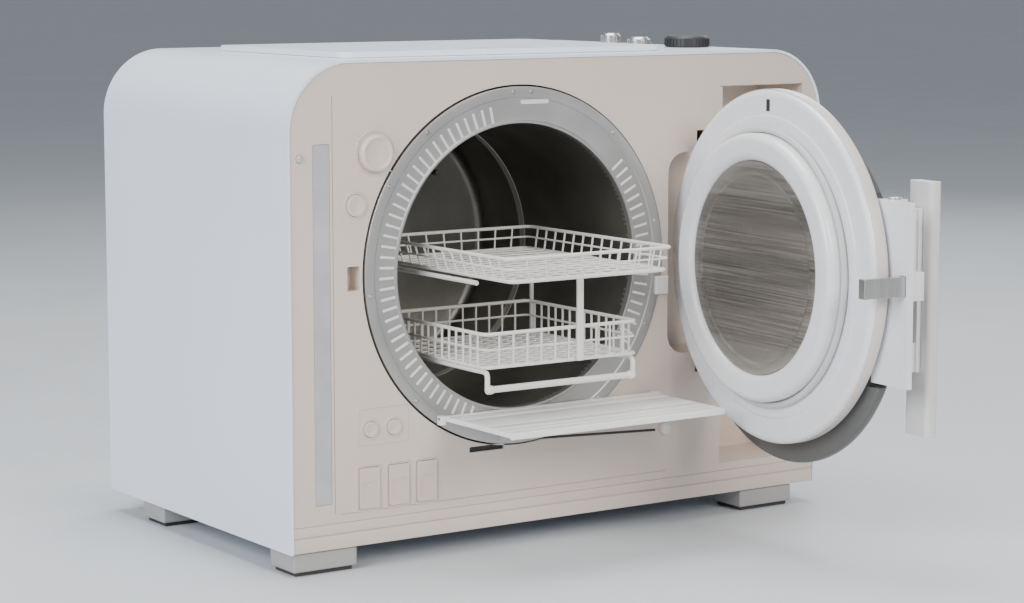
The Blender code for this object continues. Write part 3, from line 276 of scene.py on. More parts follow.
# Each row is a maker, a colour, a roughness and the rest of what the maker takes, in its order.
LOOKS = {
    "casing_paint": (moulded, (0.78, 0.84, 0.92), 0.34, 0.02, 1400, 0.10, 0.25),
    "fascia": (moulded, (0.64, 0.545, 0.475), 0.42, 0.03, 1100, 0.14, 0.10),
    "fascia_key": (moulded, (0.62, 0.53, 0.465), 0.40, 0.03, 1300, 0.10, 0.10),
    "door_shell": (moulded, (0.79, 0.80, 0.835), 0.28, 0.02, 1500, 0.06, 0.30),
    "boss_shell": (moulded, (0.78, 0.775, 0.785), 0.25, 0.02, 1500, 0.06, 0.35),
    "cover": (moulded, (0.10, 0.098, 0.094), 0.42, 0.08, 900, 0.20),
    "handle": (moulded, (0.68, 0.66, 0.64), 0.36, 0.03, 1300, 0.10, 0.15),
    "coated_wire": (moulded, (0.74, 0.715, 0.675), 0.32, 0.05, 1600, 0.12, 0.20),
    "shelf_paint": (moulded, (0.86, 0.845, 0.82), 0.32, 0.03, 1500, 0.08, 0.20),
    "foot": (moulded, (0.36, 0.35, 0.34), 0.55, 0.05, 700, 0.30),
    "foot_pad": (moulded, (0.045, 0.045, 0.047), 0.80, 0.15, 500, 0.50),
    "dark": (moulded, (0.022, 0.022, 0.024), 0.48, 0.12, 900, 0.25),
    "gasket": (moulded, (0.56, 0.56, 0.55), 0.62, 0.05, 800, 0.25),
    "level_strip": (moulded, (0.44, 0.435, 0.45), 0.22, 0.14, 60, 0.03, 0.4, 0.0, 22),
    "blanket": (moulded, (0.66, 0.63, 0.52), 0.92, 0.16, 260, 0.90),
    "board": (moulded, (0.035, 0.20, 0.08), 0.40, 0.18, 500, 0.20, 0.3),
    "tank": (moulded, (0.68, 0.72, 0.74), 0.30, 0.05, 120, 0.10, 0.2),
    "pump_paint": (moulded, (0.10, 0.12, 0.15), 0.38, 0.08, 700, 0.30, 0.2),
    "brass": (moulded, (0.62, 0.44, 0.18), 0.30, 0.08, 900, 0.12, 0.0, 1.0),
    "ring": (spun, (0.44, 0.43, 0.42), 0.42),
    # The hoop's beige stands for the door rim's side in shade: painted shade.
    "hoop": (moulded, (0.66, 0.60, 0.545), 0.36, 0.03, 1300, 0.10, 0.15),
    # The bay lining is lighter than the fascia: painted light that offsets the shade inside the
    # bay.
    "bay_lining": (moulded, (0.70, 0.60, 0.52), 0.45, 0.04, 1100, 0.14),
    # The latch pocket is lighter than the fascia: painted light that lifts the shade in the recess.
    "pocket": (moulded, (0.72, 0.62, 0.54), 0.50, 0.05, 900, 0.15),
    "ring_mark": (moulded, (0.80, 0.80, 0.79), 0.35, 0.05, 900, 0.10, 0.0, 0.4),
    "vessel": (spun, (0.24, 0.235, 0.215), 0.40, 500, 0.22),
    # The light bead round the chamber wall is a painted highlight.
    "vessel_seam": (moulded, (0.62, 0.61, 0.58), 0.38, 0.10, 700, 0.20, 0.0, 0.6),
    "steel": (brushed, (0.52, 0.51, 0.50), 0.30, (900, 900, 2.0)),
    "screw": (spun, (0.50, 0.49, 0.48), 0.28, 3000),
    "door_steel": (brushed, (0.36, 0.335, 0.31), 0.40, (6.0, 700, 700), 0.24, 0.22,
                   (3.0, 3.0, 34)),
}
MATERIALS = {name: maker(name, *values) for name, (maker, *values) in LOOKS.items()}
# The door pane's lighter upper and lower bands are a painted reflection of the room.
painted_reflection_bands(MATERIALS["door_steel"], (0.60, 0.565, 0.53), (0.057, 0.061), (-0.060, -0.070))
SLOT_OF_NODE = {part["node"]: part["material_slot"] for part in frame["record"]["subparts"]}
BODY_OF_NODE = {
    name: body for body, names in frame["record"]["behaviour"]["bodies"].items() for name in names
}


# ---- making pieces
def finished(obj, look, replaced=(), body=None, place=None, slot=None):
    """Gives a piece its place and material, attaches it to its CAD body, and hides the nodes it
    stands for.
    """
    replaced = [replaced] if isinstance(replaced, str) else list(replaced)
    body = body or BODY_OF_NODE[replaced[0]]
    obj.matrix_world = (place or ON_CASE) @ obj.matrix_world
    obj.data.materials.clear()
    obj.data.materials.append(MATERIALS[look])
    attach(obj, body)
    if replaced:
        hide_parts(*replaced)
    slot = slot or (SLOT_OF_NODE[replaced[0]] if replaced else None)
    return obj


def on_case(obj, look, slot):
    """A piece that adds to the housing and stands for no node."""
    return finished(obj, look, body="housing", slot=slot)


def with_node(obj, look, name):
    """A piece that adds to a node: it has the node's body."""
    return finished(obj, look, body=BODY_OF_NODE[name], slot=SLOT_OF_NODE[name])


def on_door(obj, look, replaced=(), body="door", slot="door_white"):
    """A piece drawn on the shut door, turned open with it."""
    return finished(obj, look, replaced, body, ON_DOOR, None if replaced else slot)


def linked(name, data):
    made = bpy.data.objects.new(name, data)
    bpy.context.scene.collection.objects.link(made)
    return made


def from_bmesh(name, shape, place=(0, 0, 0), sharp=32):
    bmesh.ops.recalc_face_normals(shape, faces=shape.faces)
    data = bpy.data.meshes.new(name)
    shape.to_mesh(data)
    shape.free()
    data.shade_smooth()
    data.set_sharp_from_angle(angle=math.radians(sharp))
    made = linked(name, data)
    made.location = place
    bpy.context.view_layer.update()
    return made


def applied(obj, sharp=32):
    """The object as one plain mesh, with its modifiers applied or its curve filled."""
    bpy.context.view_layer.update()
    evaluated = obj.evaluated_get(bpy.context.evaluated_depsgraph_get())
    shape = bmesh.new()
    data = bpy.data.meshes.new_from_object(evaluated)
    shape.from_mesh(data)
    bpy.data.meshes.remove(data)
    bmesh.ops.remove_doubles(shape, verts=shape.verts, dist=1e-6)
    name, place = obj.name, obj.matrix_world.copy()
    bpy.data.objects.remove(obj)
    made = from_bmesh(name, shape, sharp=sharp)
    made.name = name
    made.matrix_world = place
    return made


def eased(obj, width, segments, angle=35):
    """Rounds a piece's edges."""
    bevel = obj.modifiers.new("edges", "BEVEL")
    bevel.width = width
    bevel.segments = segments
    bevel.limit_method = "ANGLE"
    bevel.angle_limit = math.radians(angle)
    bevel.harden_normals = True
    return obj


def arc(x, z, radius, start, end, count):
    """Points on an arc, in degrees."""
    turn = (math.radians(start + (end - start) * i / count) for i in range(count + 1))
    return [(x + radius * math.cos(a), z + radius * math.sin(a)) for a in turn]


def circle(x, z, radius, count):
    return arc(x, z, radius, 0, 360, count)[:-1]


def rectangle(x0, z0, x1, z1):
    return [(x0, z0), (x1, z0), (x1, z1), (x0, z1)]


def rounded(x0, z0, x1, z1, radius, count=6):
    return (arc(x0 + radius, z0 + radius, radius, 180, 270, count)
            + arc(x1 - radius, z0 + radius, radius, 270, 360, count)
            + arc(x1 - radius, z1 - radius, radius, 0, 90, count)
            + arc(x0 + radius, z1 - radius, radius, 90, 180, count))


def framed(low, high, radius, out=0.0):
    """A rounded outline round a node's front, and out from it."""
    return rounded(low.x - out, low.z - out, high.x + out, high.z + out, radius)


def rounded_top(inset, bottom):
    """The casing's outline, set in, from its lower left corner round to its lower right."""
    radius = CORNER_R - inset
    top = CASE_H - inset - radius
    return ([(inset, bottom)] + arc(inset + radius, top, radius, 180, 90, 24)
            + arc(CASE_W - inset - radius, top, radius, 90, 0, 24) + [(CASE_W - inset, bottom)])


def fillet(points, radius, count):
    """A closed outline with each corner rounded."""
    made = []
    for i, corner in enumerate(points):
        here = Vector(corner)
        before = Vector(points[i - 1]) - here
        after = Vector(points[(i + 1) % len(points)]) - here
        reach = min(radius, before.length * 0.49, after.length * 0.49)
        start, end = here + before.normalized() * reach, here + after.normalized() * reach
        for step in range(count + 1):
            t = step / count
            made.append(tuple(start * (1 - t) ** 2 + here * 2 * t * (1 - t) + end * t ** 2))
    return made


def plate(name, outlines, low, high, flat="XZ"):
    """A flat piece between two levels: the first outline is its edge and the rest are openings."""
    curve = bpy.data.curves.new(name, "CURVE")
    curve.dimensions = "2D"
    curve.fill_mode = "BOTH"
    curve.extrude = (high - low) / 2
    for outline in outlines:
        spline = curve.splines.new("POLY")
        spline.points.add(len(outline) - 1)
        for point, (across, up) in zip(spline.points, outline):
            point.co = (across, up, 0, 1)
        spline.use_cyclic_u = True
    made = linked(name, curve)
    middle, quarter = (low + high) / 2, math.pi / 2
    made.rotation_euler, made.location = {
        "XZ": ((quarter, 0, 0), (0, middle, 0)), "XY": ((0, 0, 0), (0, 0, middle)),
        "YZ": ((quarter, 0, quarter), (middle, 0, 0))}[flat]
    return applied(made)


def lathe(name, profile, centre, steps, axis="Y"):
    """A body turned about an axis. The profile is a closed loop of (radius, along)."""
    shape = bmesh.new()
    rings = []
    for step in range(steps):
        a = math.tau * step / steps
        c, s = math.cos(a), math.sin(a)
        place = {"Y": lambda r, y: (r * c, y, r * s), "Z": lambda r, y: (r * c, r * s, y),
                 "X": lambda r, y: (y, r * c, r * s)}[axis]
        rings.append([shape.verts.new(place(radius, along)) for radius, along in profile])
    count = len(profile)
    for step in range(steps):
        here, there = rings[step], rings[(step + 1) % steps]
        for i in range(count):
            j = (i + 1) % count
            shape.faces.new((here[i], here[j], there[j], there[i]))
    bmesh.ops.remove_doubles(shape, verts=shape.verts, dist=2e-6)
    bmesh.ops.dissolve_degenerate(shape, edges=shape.edges, dist=1e-7)
    return from_bmesh(name, shape, centre)


def block(name, low, high, ease=0.0, segments=3):
    low, high = Vector(low), Vector(high)
    shape = bmesh.new()
    bmesh.ops.create_cube(shape, size=1.0, matrix=Matrix.Diagonal((*(high - low), 1.0)))
    made = from_bmesh(name, shape, (low + high) / 2)
    return eased(made, ease, segments) if ease else made


def cluster(name, blocks):
    """Several small blocks in one mesh, each given by its own matrix on a unit cube."""
    shape = bmesh.new()
    for matrix in blocks:
        bmesh.ops.create_cube(shape, size=1.0, matrix=matrix)
    return from_bmesh(name, shape)


def turned(place, axis, angle, out, size):
    """A small block's matrix, turned about an axis through a place and moved out from there."""
    return (Matrix.Translation(place) @ Matrix.Rotation(angle, 4, axis) @ Matrix.Translation(out)
            @ Matrix.Diagonal((*size, 1)))


def carve(obj, *cutters):
    """Cuts openings and removes what cut them."""
    for cutter in cutters:
        step = obj.modifiers.new("cut", "BOOLEAN")
        step.operation = "DIFFERENCE"
        step.solver = "EXACT"
        step.object = cutter
    made = applied(obj)
    for cutter in cutters:
        bpy.data.objects.remove(cutter)
    return made


def wires(name, runs, sides=4):
    """Round wires in one curve. Each run is (points, radius, closed)."""
    curve = bpy.data.curves.new(name, "CURVE")
    curve.dimensions = "3D"
    curve.bevel_depth = unit = 0.001
    curve.bevel_resolution = sides
    curve.use_fill_caps = True
    for points, radius, closed in runs:
        spline = curve.splines.new("POLY")
        spline.points.add(len(points) - 1)
        for held, place in zip(spline.points, points):
            held.co = (*place, 1)
            held.radius = radius / unit
        spline.use_cyclic_u = closed
    return applied(linked(name, curve), 60)


def looped(x0, y0, x1, y1, z):
    """A closed rectangular loop of wire at one level, with round corners."""
    return [(x, y, z) for x, y in rounded(x0, y0, x1, y1, 0.006, 5)]


def softened(source, look, ease, segments, name):
    """A CAD node's own shape with its flat faces made whole and its edges rounded."""
    shape = bmesh.new()
    shape.from_mesh(frame["nodes"][source].data)
    bmesh.ops.remove_doubles(shape, verts=shape.verts, dist=1e-6)
    bmesh.ops.dissolve_limit(shape, angle_limit=math.radians(0.5), verts=shape.verts,
                             edges=shape.edges)
    made = eased(from_bmesh(name, shape), ease, segments)
    finished(made, look, source, place=Matrix.Identity(4))


def screws(name, places, radius, body, facing=-1, place=None):
    """Domed screw heads with a cross recess, in one mesh. Facing is the way that they look."""
    shape = bmesh.new()
    turn = Matrix.Rotation(-facing * math.pi / 2, 4, "X")
    tall = radius * 0.45
    recess = Matrix.Diagonal((radius * 1.1, radius * 0.22, tall * 1.2, 1))
    recesses = []
    for spot in places:
        where = Matrix.Translation(spot) @ turn
        bmesh.ops.create_cone(shape, cap_ends=True, segments=20, radius1=radius,
                              radius2=radius * 0.78, depth=tall,
                              matrix=where @ Matrix.Translation((0, 0, tall / 2)))
        top = where @ Matrix.Translation((0, 0, tall))
        recesses += [top @ Matrix.Rotation(quarter + 0.5, 4, "Z") @ recess
                     for quarter in (0, math.pi / 2)]
    heads = from_bmesh(name, shape)
    heads = carve(heads, *[cluster(f"{name}_recess", [m]) for m in recesses])
    finished(heads, "screw", body=body, place=place, slot="steel")


# ---- casing
def make_casing():
    shell = plate("casing", [rounded_top(0, 0) + rounded_top(WALL, 0)[::-1]], 0, CASE_D)
    (x, y, _), _, _, _ = round_node("filler_cap")
    hole_r, reach = 0.0165, 0.01
    hole = lathe("hole", [(0, -reach), (hole_r, -reach), (hole_r, reach), (0, reach)],
                 (x, y, CASE_H), 48, "Z")
    finished(eased(carve(shell, hole), 0.0011, 3), "casing_paint", "casing_shell")

    low, high = in_case("base_sill")
    groove, half, deep = 0.0125, 0.0006, low.y + 0.0012
    profile = fillet([(low.y, low.z), (low.y, groove - half), (deep, groove - half),
                      (deep, groove + half), (low.y, groove + half),
                      (low.y, high.z), (high.y, high.z), (high.y, low.z)], 0.0005, 3)
    finished(plate("sill", [profile], low.x, high.x, "YZ"), "fascia", "base_sill")

    softened("base_tray", "casing_paint", 0.0005, 2, "bottom_tray")
    low, high = in_case("top_lid")
    lid = plate("lid", [rounded(low.x, low.y, high.x, high.y, 0.012, 8)], low.z, high.z, "XY")
    finished(eased(lid, 0.0016, 4), "casing_paint", "top_lid")


def bay_outline():
    """The hinge bay's opening in the front with, on its left, the bite for the door's rim."""
    low, high = in_case("hinge_bay_liner")
    sheet, flange = 0.0015, 0.003
    bay_w, notch_w = 0.092, 0.0315
    bite, arms = 0.0895, 0.108  # half heights of the bite and the arms' notches
    turn = 0.018
    x0, x1 = low.x + flange + sheet, high.x - sheet
    bay_x, notch_x = x1 - bay_w, x0 + notch_w
    z0, z1 = low.z + sheet, high.z - sheet
    return ([(bay_x, z0), (x1, z0), (x1, z1), (bay_x, z1), (bay_x, CENTRE_Z + arms),
             (notch_x, CENTRE_Z + arms), (notch_x, CENTRE_Z + bite)]
            + arc(x0 + turn, CENTRE_Z + bite - turn, turn, 90, 180, 10)
            + arc(x0 + turn, CENTRE_Z - bite + turn, turn, 180, 270, 10)
            + [(notch_x, CENTRE_Z - bite), (notch_x, CENTRE_Z - arms), (bay_x, CENTRE_Z - arms)])


KEY_NAMES = [name for name in frame["nodes"] if name.endswith("_key") or "_key_" in name]
TALL_KEYS = [name for name in KEY_NAMES if name.startswith("program")]
ROUND_KEYS = [name for name in KEY_NAMES if name not in TALL_KEYS]
KEY_GAP = 0.0004
BELOW_RING = (0.1735, 0.0665, 0.2092, 0.0715)  # the vent slot: its x and z limits


def make_front():
    low, high = in_case("front_fascia")
    strip_low, strip_high = in_case("level_window")
    (lens_x, _, lens_z), lens_r, _, lens_high = round_node("indicator_lens")
    (knob_x, _, knob_z), _, _, _ = round_node("selector_knob")
    tongue_low, tongue_high = in_shut_door("latch_tongue")
    tongue_x = (tongue_low.x + tongue_high.x) / 2
    ring_gap, spindle_r, corner = 0.0015, 0.0034, 0.0015
    slot_w, slot_h = 0.0058, 0.010  # the latch slot's half sizes
    openings = [
        circle(CENTRE_X, CENTRE_Z, RING_R + ring_gap, 160),
        bay_outline(),
        framed(strip_low, strip_high, corner, GAP),
        circle(lens_x, lens_z, lens_r + GAP, 32),
        circle(knob_x, knob_z, spindle_r, 24),
        rounded(tongue_x - slot_w, CENTRE_Z - slot_h, tongue_x + slot_w, CENTRE_Z + slot_h, corner),
        rounded(*BELOW_RING, corner),
    ]
    for name in TALL_KEYS:
        openings.append(framed(*in_case(name), 0.0016, KEY_GAP))
    for name in ROUND_KEYS:
        (x, _, z), radius, _, _ = round_node(name)
        openings.append(circle(x, z, radius + KEY_GAP, 40))
    panel = plate("front_panel", [rounded_top(low.x, low.z)] + openings, low.y, high.y)
    before = -0.02
    seams = [((0.0418, before, 0.030), (0.0424, low.y + 0.0009, 0.372)),
             ((0.0475, before, 0.0285), (0.383, low.y + 0.0007, 0.0291)),
             ((0.4400, before, 0.3685), (0.536, low.y + 0.0009, 0.3691))]
    panel = carve(panel, *[block(f"seam_{i}", *ends) for i, ends in enumerate(seams)])
    finished(eased(panel, 0.0004, 2), "fascia", "front_fascia")
    x0, z0, x1, z1 = BELOW_RING
    past = 0.002
    # The slot below the ring is cut through; the near-black backing behind it is painted shade
    # inside the slot.
    backing = block("slot_shade_backing", (x0 - past, high.y + GAP, z0 - past),
                    (x1 + past, high.y + 0.0025, z1 + past), 0.0004)
    on_case(backing, "dark", "dark_plastic")

    # The bay's lining is coloured lighter than the fascia: painted light against the recess's
    # shade.
    softened("hinge_bay_liner", "bay_lining", 0.0006, 2, "bay_lining")
    strip = plate("level_strip", [framed(strip_low, strip_high, 0.0013)], strip_low.y, strip_high.y)
    finished(eased(strip, 0.0005, 3), "level_strip", "level_window")

    sheet = 0.0009
    x0, x1 = tongue_x - slot_w - 0.001, tongue_x + slot_w + 0.001
    z0, z1 = CENTRE_Z - slot_h - 0.001, CENTRE_Z + slot_h + 0.001
    # The latch pocket's lining is lighter than the fascia: painted light over its shade.
    pocket = plate("latch_pocket", [rectangle(x0, z0, x1, z1),
                                    rectangle(x0 + sheet, z0 + sheet, x1 - sheet, z1 - sheet)],
                   high.y + GAP, high.y + 0.0125)
    on_case(pocket, "pocket", "fascia_plastic")
    end = block("latch_pocket_end", (x0, high.y + 0.0126, z0), (x1, high.y + 0.0136, z1), 0.0002)
    on_case(end, "pocket", "fascia_plastic")
    rise = 0.0009
    dome = ([(0, -rise)] + [(lens_r * math.sin(a), -rise * math.cos(a))
                            for a in (math.radians(15 * i) for i in range(1, 7))]
            + [(lens_r, lens_high.y), (0, lens_high.y)])
    finished(lathe("lens", dome, (lens_x, 0, lens_z), 40), "level_strip", "indicator_lens")


def ridge(name, outline, radius):
    """A thin raised line on the front panel."""
    made = wires(name, [([(x, FACE_Y, z) for x, z in outline], radius, True)], 2)
    on_case(made, "fascia_key", "fascia_plastic")


def make_keys():
    around_key = 0.0022  # from a key to the ridge round it
    for name in TALL_KEYS:
        low, high = in_case(name)
        cap = plate(name + "_cap", [framed(low, high, 0.0014)], low.y, high.y)
        dish = block("dish", (low.x + 0.003, low.y - 0.001, low.z + 0.004),
                     (high.x - 0.003, low.y + 0.0005, high.z - 0.012))
        finished(eased(carve(cap, dish), 0.0007, 3), "fascia_key", name)
        ridge(name + "_surround", framed(low, high, 0.003, around_key), 0.0006)
    for name in ROUND_KEYS:
        (x, _, z), radius, low, high = round_node(name)
        dish = low.y + 0.0004
        dished = fillet([(0, dish), (radius * 0.55, dish), (radius * 0.7, low.y), (radius, low.y),
                         (radius, high.y), (0, high.y)], 0.0004, 2)
        finished(lathe(name + "_cap", dished, (x, 0, z), 64), "fascia_key", name)
        ridge(name + "_surround", circle(x, z, radius + around_key, 48), 0.0005)
    low, high = in_case("minus_key")[0], in_case("plus_key")[1]
    ridge("level_key_surround", rounded(low.x - 0.0065, low.z - 0.006, high.x + 0.0065,
                                        high.z + 0.0115, 0.0035), 0.0006)


def make_knob():
    (x, _, z), radius, low, high = round_node("selector_knob")
    tall, spindle_r, face = 0.0062, 0.003, low.y
    skirt = face + tall - 0.0004
    profile = fillet([(0, face + 0.001), (radius * 0.72, face + 0.001), (radius * 0.77, face),
                      (radius * 0.91, face), (radius, face + tall * 0.35), (radius, skirt),
                      (spindle_r, skirt), (spindle_r, high.y), (0, high.y)], 0.0008, 3)
    count = 24
    flutes = [turned((x, face + tall * 0.70, z), "Y", math.tau * i / count, (radius + 0.0001, 0, 0),
                     (0.0010, tall * 0.30, 0.0012)) for i in range(count)]
    knob = carve(lathe("knob", profile, (x, 0, z), 96), cluster("flutes", flutes))
    finished(eased(knob, 0.0002, 2), "fascia_key", "selector_knob")
    half = 0.0007
    pointer = block("knob_pointer", (x - half, face - 0.0002, z + radius * 0.72),
                    (x + half, face + 0.0016, z + radius * 0.90), 0.0002)
    with_node(pointer, "fascia_key", "selector_knob")
    ridge("knob_surround", circle(x, z, radius + 0.003, 64), 0.0006)
    ticks = [turned((x, FACE_Y - 0.0001, z), "Y", math.radians(angle), (0, 0, radius + 0.0058),
                    (0.0008, 0.0006, 0.0024)) for angle in range(-135, 136, 45)]
    on_case(cluster("knob_ticks", ticks), "fascia_key", "fascia_plastic")


def make_front_fittings():
    """The wire stay under the ring with its stud, and the catch on the ring's right."""
    ends = [(0.204, FACE_Y, 0.0740), (0.370, FACE_Y, 0.0665)]
    on_case(wires("shelf_stay", [(ends, 0.0011, False)]), "dark", "dark_plastic")
    stud = fillet([(0, -0.0045), (0.0042, -0.0045), (0.0052, -0.003), (0.0052, 0.0007),
                   (0, 0.0007)], 0.0008, 3)
    on_case(lathe("stay_stud", stud, (0.3795, 0, 0.0672), 40), "handle", "fascia_plastic")
    catch = block("ring_catch", (0.3672, -0.0036, 0.188), (0.3808, FACE_Y - 0.0001, 0.204), 0.0010)
    on_case(catch, "handle", "fascia_plastic")


# ---- chamber
def around(angle, radius, y):
    """A point on the chamber's face, at an angle from its right-hand side."""
    a = math.radians(angle)
    return Vector((CENTRE_X + radius * math.cos(a), y, CENTRE_Z + radius * math.sin(a)))


def make_chamber():
    front, back = RING_LOW.y, RING_HIGH.y
    band = front + 0.0007  # the tick marks' band lies a little lower
    ring = fillet([(MOUTH_R, back), (MOUTH_R, front), (MOUTH_R + 0.0022, front),
                   (MOUTH_R + 0.0028, band), (RING_R - 0.0095, band), (RING_R - 0.0088, front),
                   (RING_R, front), (RING_R, back)], 0.0006, 3)
    finished(lathe("mouth_ring", ring, CENTRE, 192), "ring", "chamber_ring")

    tick_r, screw_r, pitch = 0.1312, 0.1475, 3.75
    angles = [-33 + pitch * i for i in range(20)] + [102 + pitch * i for i in range(40)]
    ticks = [turned(around(a, tick_r, band - 0.0003), "Y", -math.radians(a), (0, 0, 0),
                    (0.0138, 0.0010, 0.0021)) for a in angles]
    on_case(eased(cluster("ring_ticks", ticks), 0.0003, 2), "ring_mark", "ring_metal")
    # A raised bar at the ring's top; its near-white colour is a painted highlight of the latch
    # slot's lit edge.
    bar = plate("ring_bar_highlight", [rounded(CENTRE_X + 0.002, CENTRE_Z + 0.1370, CENTRE_X + 0.030,
                                     CENTRE_Z + 0.1405, 0.0016)], front - 0.0006, front + 0.001)
    on_case(eased(bar, 0.0003, 2), "ring_mark", "ring_metal")
    spots = [around(a, screw_r, front) for a in (92, 85, 128, 150, 186, 226, 262, 305, 336, 12, 48)]
    screws("ring_screws", spots, 0.0021, "housing")

    lip, deep = VESSEL_LOW.y, VESSEL_HIGH.y - WALL
    outside, turn = MOUTH_R + WALL, 0.008
    corner = [(MOUTH_R - turn + turn * math.cos(a), deep - turn + turn * math.sin(a))
              for a in (math.radians(15 * i) for i in range(7))]
    shell = ([(MOUTH_R, lip)] + corner
             + [(0.0, deep), (0.0, deep + WALL), (outside, deep + WALL), (outside, lip)])
    finished(lathe("vessel", shell, CENTRE, 160), "vessel", "chamber_vessel")
    y0, y1 = 0.166, 0.166 + 0.0085  # a raised bead round the wall near its back, light in colour: a painted highlight on the back wall's edge
    proud, sunk = MOUTH_R - 0.0005, MOUTH_R + 0.0008
    seam = fillet([(proud, y0), (proud, y1), (sunk, y1), (sunk, y0)], 0.0003, 3)
    on_case(lathe("vessel_seam", seam, CENTRE, 160), "vessel_seam", "steel")
    probe = fillet([(0, -0.020), (0.0022, -0.020), (0.0022, -0.004), (0.006, -0.004),
                    (0.006, -0.0002), (0, -0.0002)], 0.0006, 2)
    place = (CENTRE_X + 0.060, deep, CENTRE_Z + 0.062)
    on_case(lathe("temperature_probe", probe, place, 32), "vessel", "steel")


# ---- trays, rack and front shelf
BEND = 0.001  # how near a wire's bend starts


def make_shelf():
    low, high = in_case("upper_shelf")
    rod, fine = 0.0015, 0.0009
    x0, x1, y0, y1 = low.x + rod, high.x - rod, low.y + rod, high.y - rod
    floor, rim = low.z + rod, high.z - rod
    middle = floor + (rim - floor) * 0.52
    lean = 0.006  # the sides run in towards the floor
    left, right, front = x0 + lean, x1 - lean / 2, y0 + lean / 2
    runs = [(looped(left, front, right, y1, floor), rod, True),
            (looped(x0, y0, x1, y1, rim), rod, True),
            (looped(x0 + lean / 2, y0 + lean / 4, x1 - lean / 4, y1, middle), fine, True)]
    across, along = 15, 9
    for i in range(1, across):
        y = y0 + (y1 - y0) * i / across
        runs.append(([(x0, y, rim), (left, y, floor + BEND), (left + BEND, y, floor),
                      (right - BEND, y, floor), (right, y, floor + BEND), (x1, y, rim)],
                     fine, False))
    over, under = floor - 0.0004, floor - 0.0010  # the long wires pass below the cross wires
    for i in range(1, along):
        x = x0 + (x1 - x0) * i / along
        inner = left + (x1 - x0 - 1.5 * lean) * i / along
        runs.append(([(x, y0, rim), (inner, front, over), (inner, front + BEND, under),
                      (inner, y1 - BEND, under), (inner, y1, over), (x, y1, rim)], fine, False))
    finished(wires("shelf_wires", runs), "coated_wire", "upper_shelf")


def make_basket():
    low, high = in_case("lower_basket")
    rod, fine = 0.0016, 0.0010
    x0, x1, y0, y1 = low.x + rod, high.x - rod, low.y + 0.005 + rod, high.y - rod
    floor, rim = low.z + rod, low.z + 0.0290
    middle, under = (floor + rim) / 2 + 0.001, floor - 0.0004
    runs = [(looped(x0, y0, x1, y1, z), radius, True)
            for z, radius in ((floor, 0.0014), (middle, fine), (rim, rod))]
    across, along = 11, 15
    for i in range(1, across):
        x = x0 + (x1 - x0) * i / across
        runs.append(([(x, y0, rim), (x, y0, floor + BEND), (x, y0 + BEND, floor),
                      (x, y1 - BEND, floor), (x, y1, floor + BEND), (x, y1, rim)], fine, False))
    for i in range(1, along):
        y = y0 + (y1 - y0) * i / along
        runs.append(([(x0, y, rim), (x0, y, floor + BEND), (x0 + BEND, y, under),
                      (x1 - BEND, y, under), (x1, y, floor + BEND), (x1, y, rim)], fine, False))
    finished(wires("basket_wires", runs), "coated_wire", "lower_basket")
    post = block("basket_post", (0.2352, low.y + 0.0006, low.z + 0.001),
                 (0.2408, low.y + 0.0036, high.z), 0.0006)
    with_node(post, "coated_wire", "lower_basket")


def make_rack():
    low, high = in_case("rack_frame")
    basket_low, basket_high = in_case("lower_basket")
    shelf_low = in_case("upper_shelf")[0]
    drop, inset = 0.002, 0.0045  # the rods' centres, from the trays
    rail, outer = basket_low.z - GAP - drop, shelf_low.z - GAP - drop
    half = (basket_high.x - basket_low.x) / 2 - inset
    y0, y1 = low.y + 0.0025, high.y - 0.0025
    bar_r, rod_r, outer_r = 0.0028, 0.0022, 0.0020
    foot = low.z + bar_r
    end = half + 0.0005
    runs = [([(CENTRE_X - end, y0, foot), (CENTRE_X + end, y0, foot)], bar_r, False)]
    side = high.x - CENTRE_X - rod_r
    turn = 0.004
    for sign in (-1, 1):
        x, far = CENTRE_X + sign * half, CENTRE_X + sign * side
        runs.append(([(x, y0, foot), (x, y0, rail - turn), (x, y0 + BEND, rail - BEND),
                      (x, y0 + turn, rail), (x, y1, rail)], rod_r, False))
        runs.append(([(far, y0, outer), (far, y1 - 0.005, outer), (far, y1 - BEND, outer - BEND),
                      (far, y1, outer - 0.005), (far, y1, rail)], outer_r, False))
    rear = rail - 0.001
    runs.append(([(CENTRE_X - side, y1, rear), (CENTRE_X + side, y1, rear)], rod_r, False))
    finished(wires("rack_rods", runs, 6), "coated_wire", "rack_frame")
    tip_r, tip = 0.0036, 0.0060
    profile = fillet([(0, 0), (tip_r, 0), (tip_r, tip), (0, tip)], 0.0014, 4)
    for side, x in (("left", CENTRE_X - half - 0.0010), ("right", CENTRE_X + half - 0.0050)):
        knob = lathe(f"rack_knob_{side}", profile, (x, y0, foot), 32, "X")
        with_node(knob, "coated_wire", "rack_frame")


def make_drop_shelf():
    low, high = in_case("drop_shelf")
    top = CENTRE_Z - MOUTH_R
    under, front, back = top - 0.0040, low.y, high.y
    wide, lip = 0.0012, 0.003  # a groove's width and the front lip's
    outline = [(back, under), (back, top)]
    for y, deep in ((-0.010, 0.0006), (-0.028, 0.0008), (-0.066, 0.0008), (-0.082, 0.0008),
                    (-0.0935, 0.0008)):
        outline += [(y, top), (y, top - deep), (y - wide, top - deep), (y - wide, top)]
    outline += [(front, top), (front, under - wide), (front + lip, under - wide),
                (front + lip, under)]
    shelf = plate("front_shelf", [fillet(outline, 0.0004, 2)], low.x, high.x, "YZ")
    finished(eased(shelf, 0.0005, 2), "shelf_paint", "drop_shelf")
    for name in ("shelf_bracket_left", "shelf_bracket_right"):
        softened(name, "door_shell", 0.0006, 2, name.replace("shelf", "fold"))
    softened("shelf_rod", "steel", 0.0001, 1, "fold_rod")


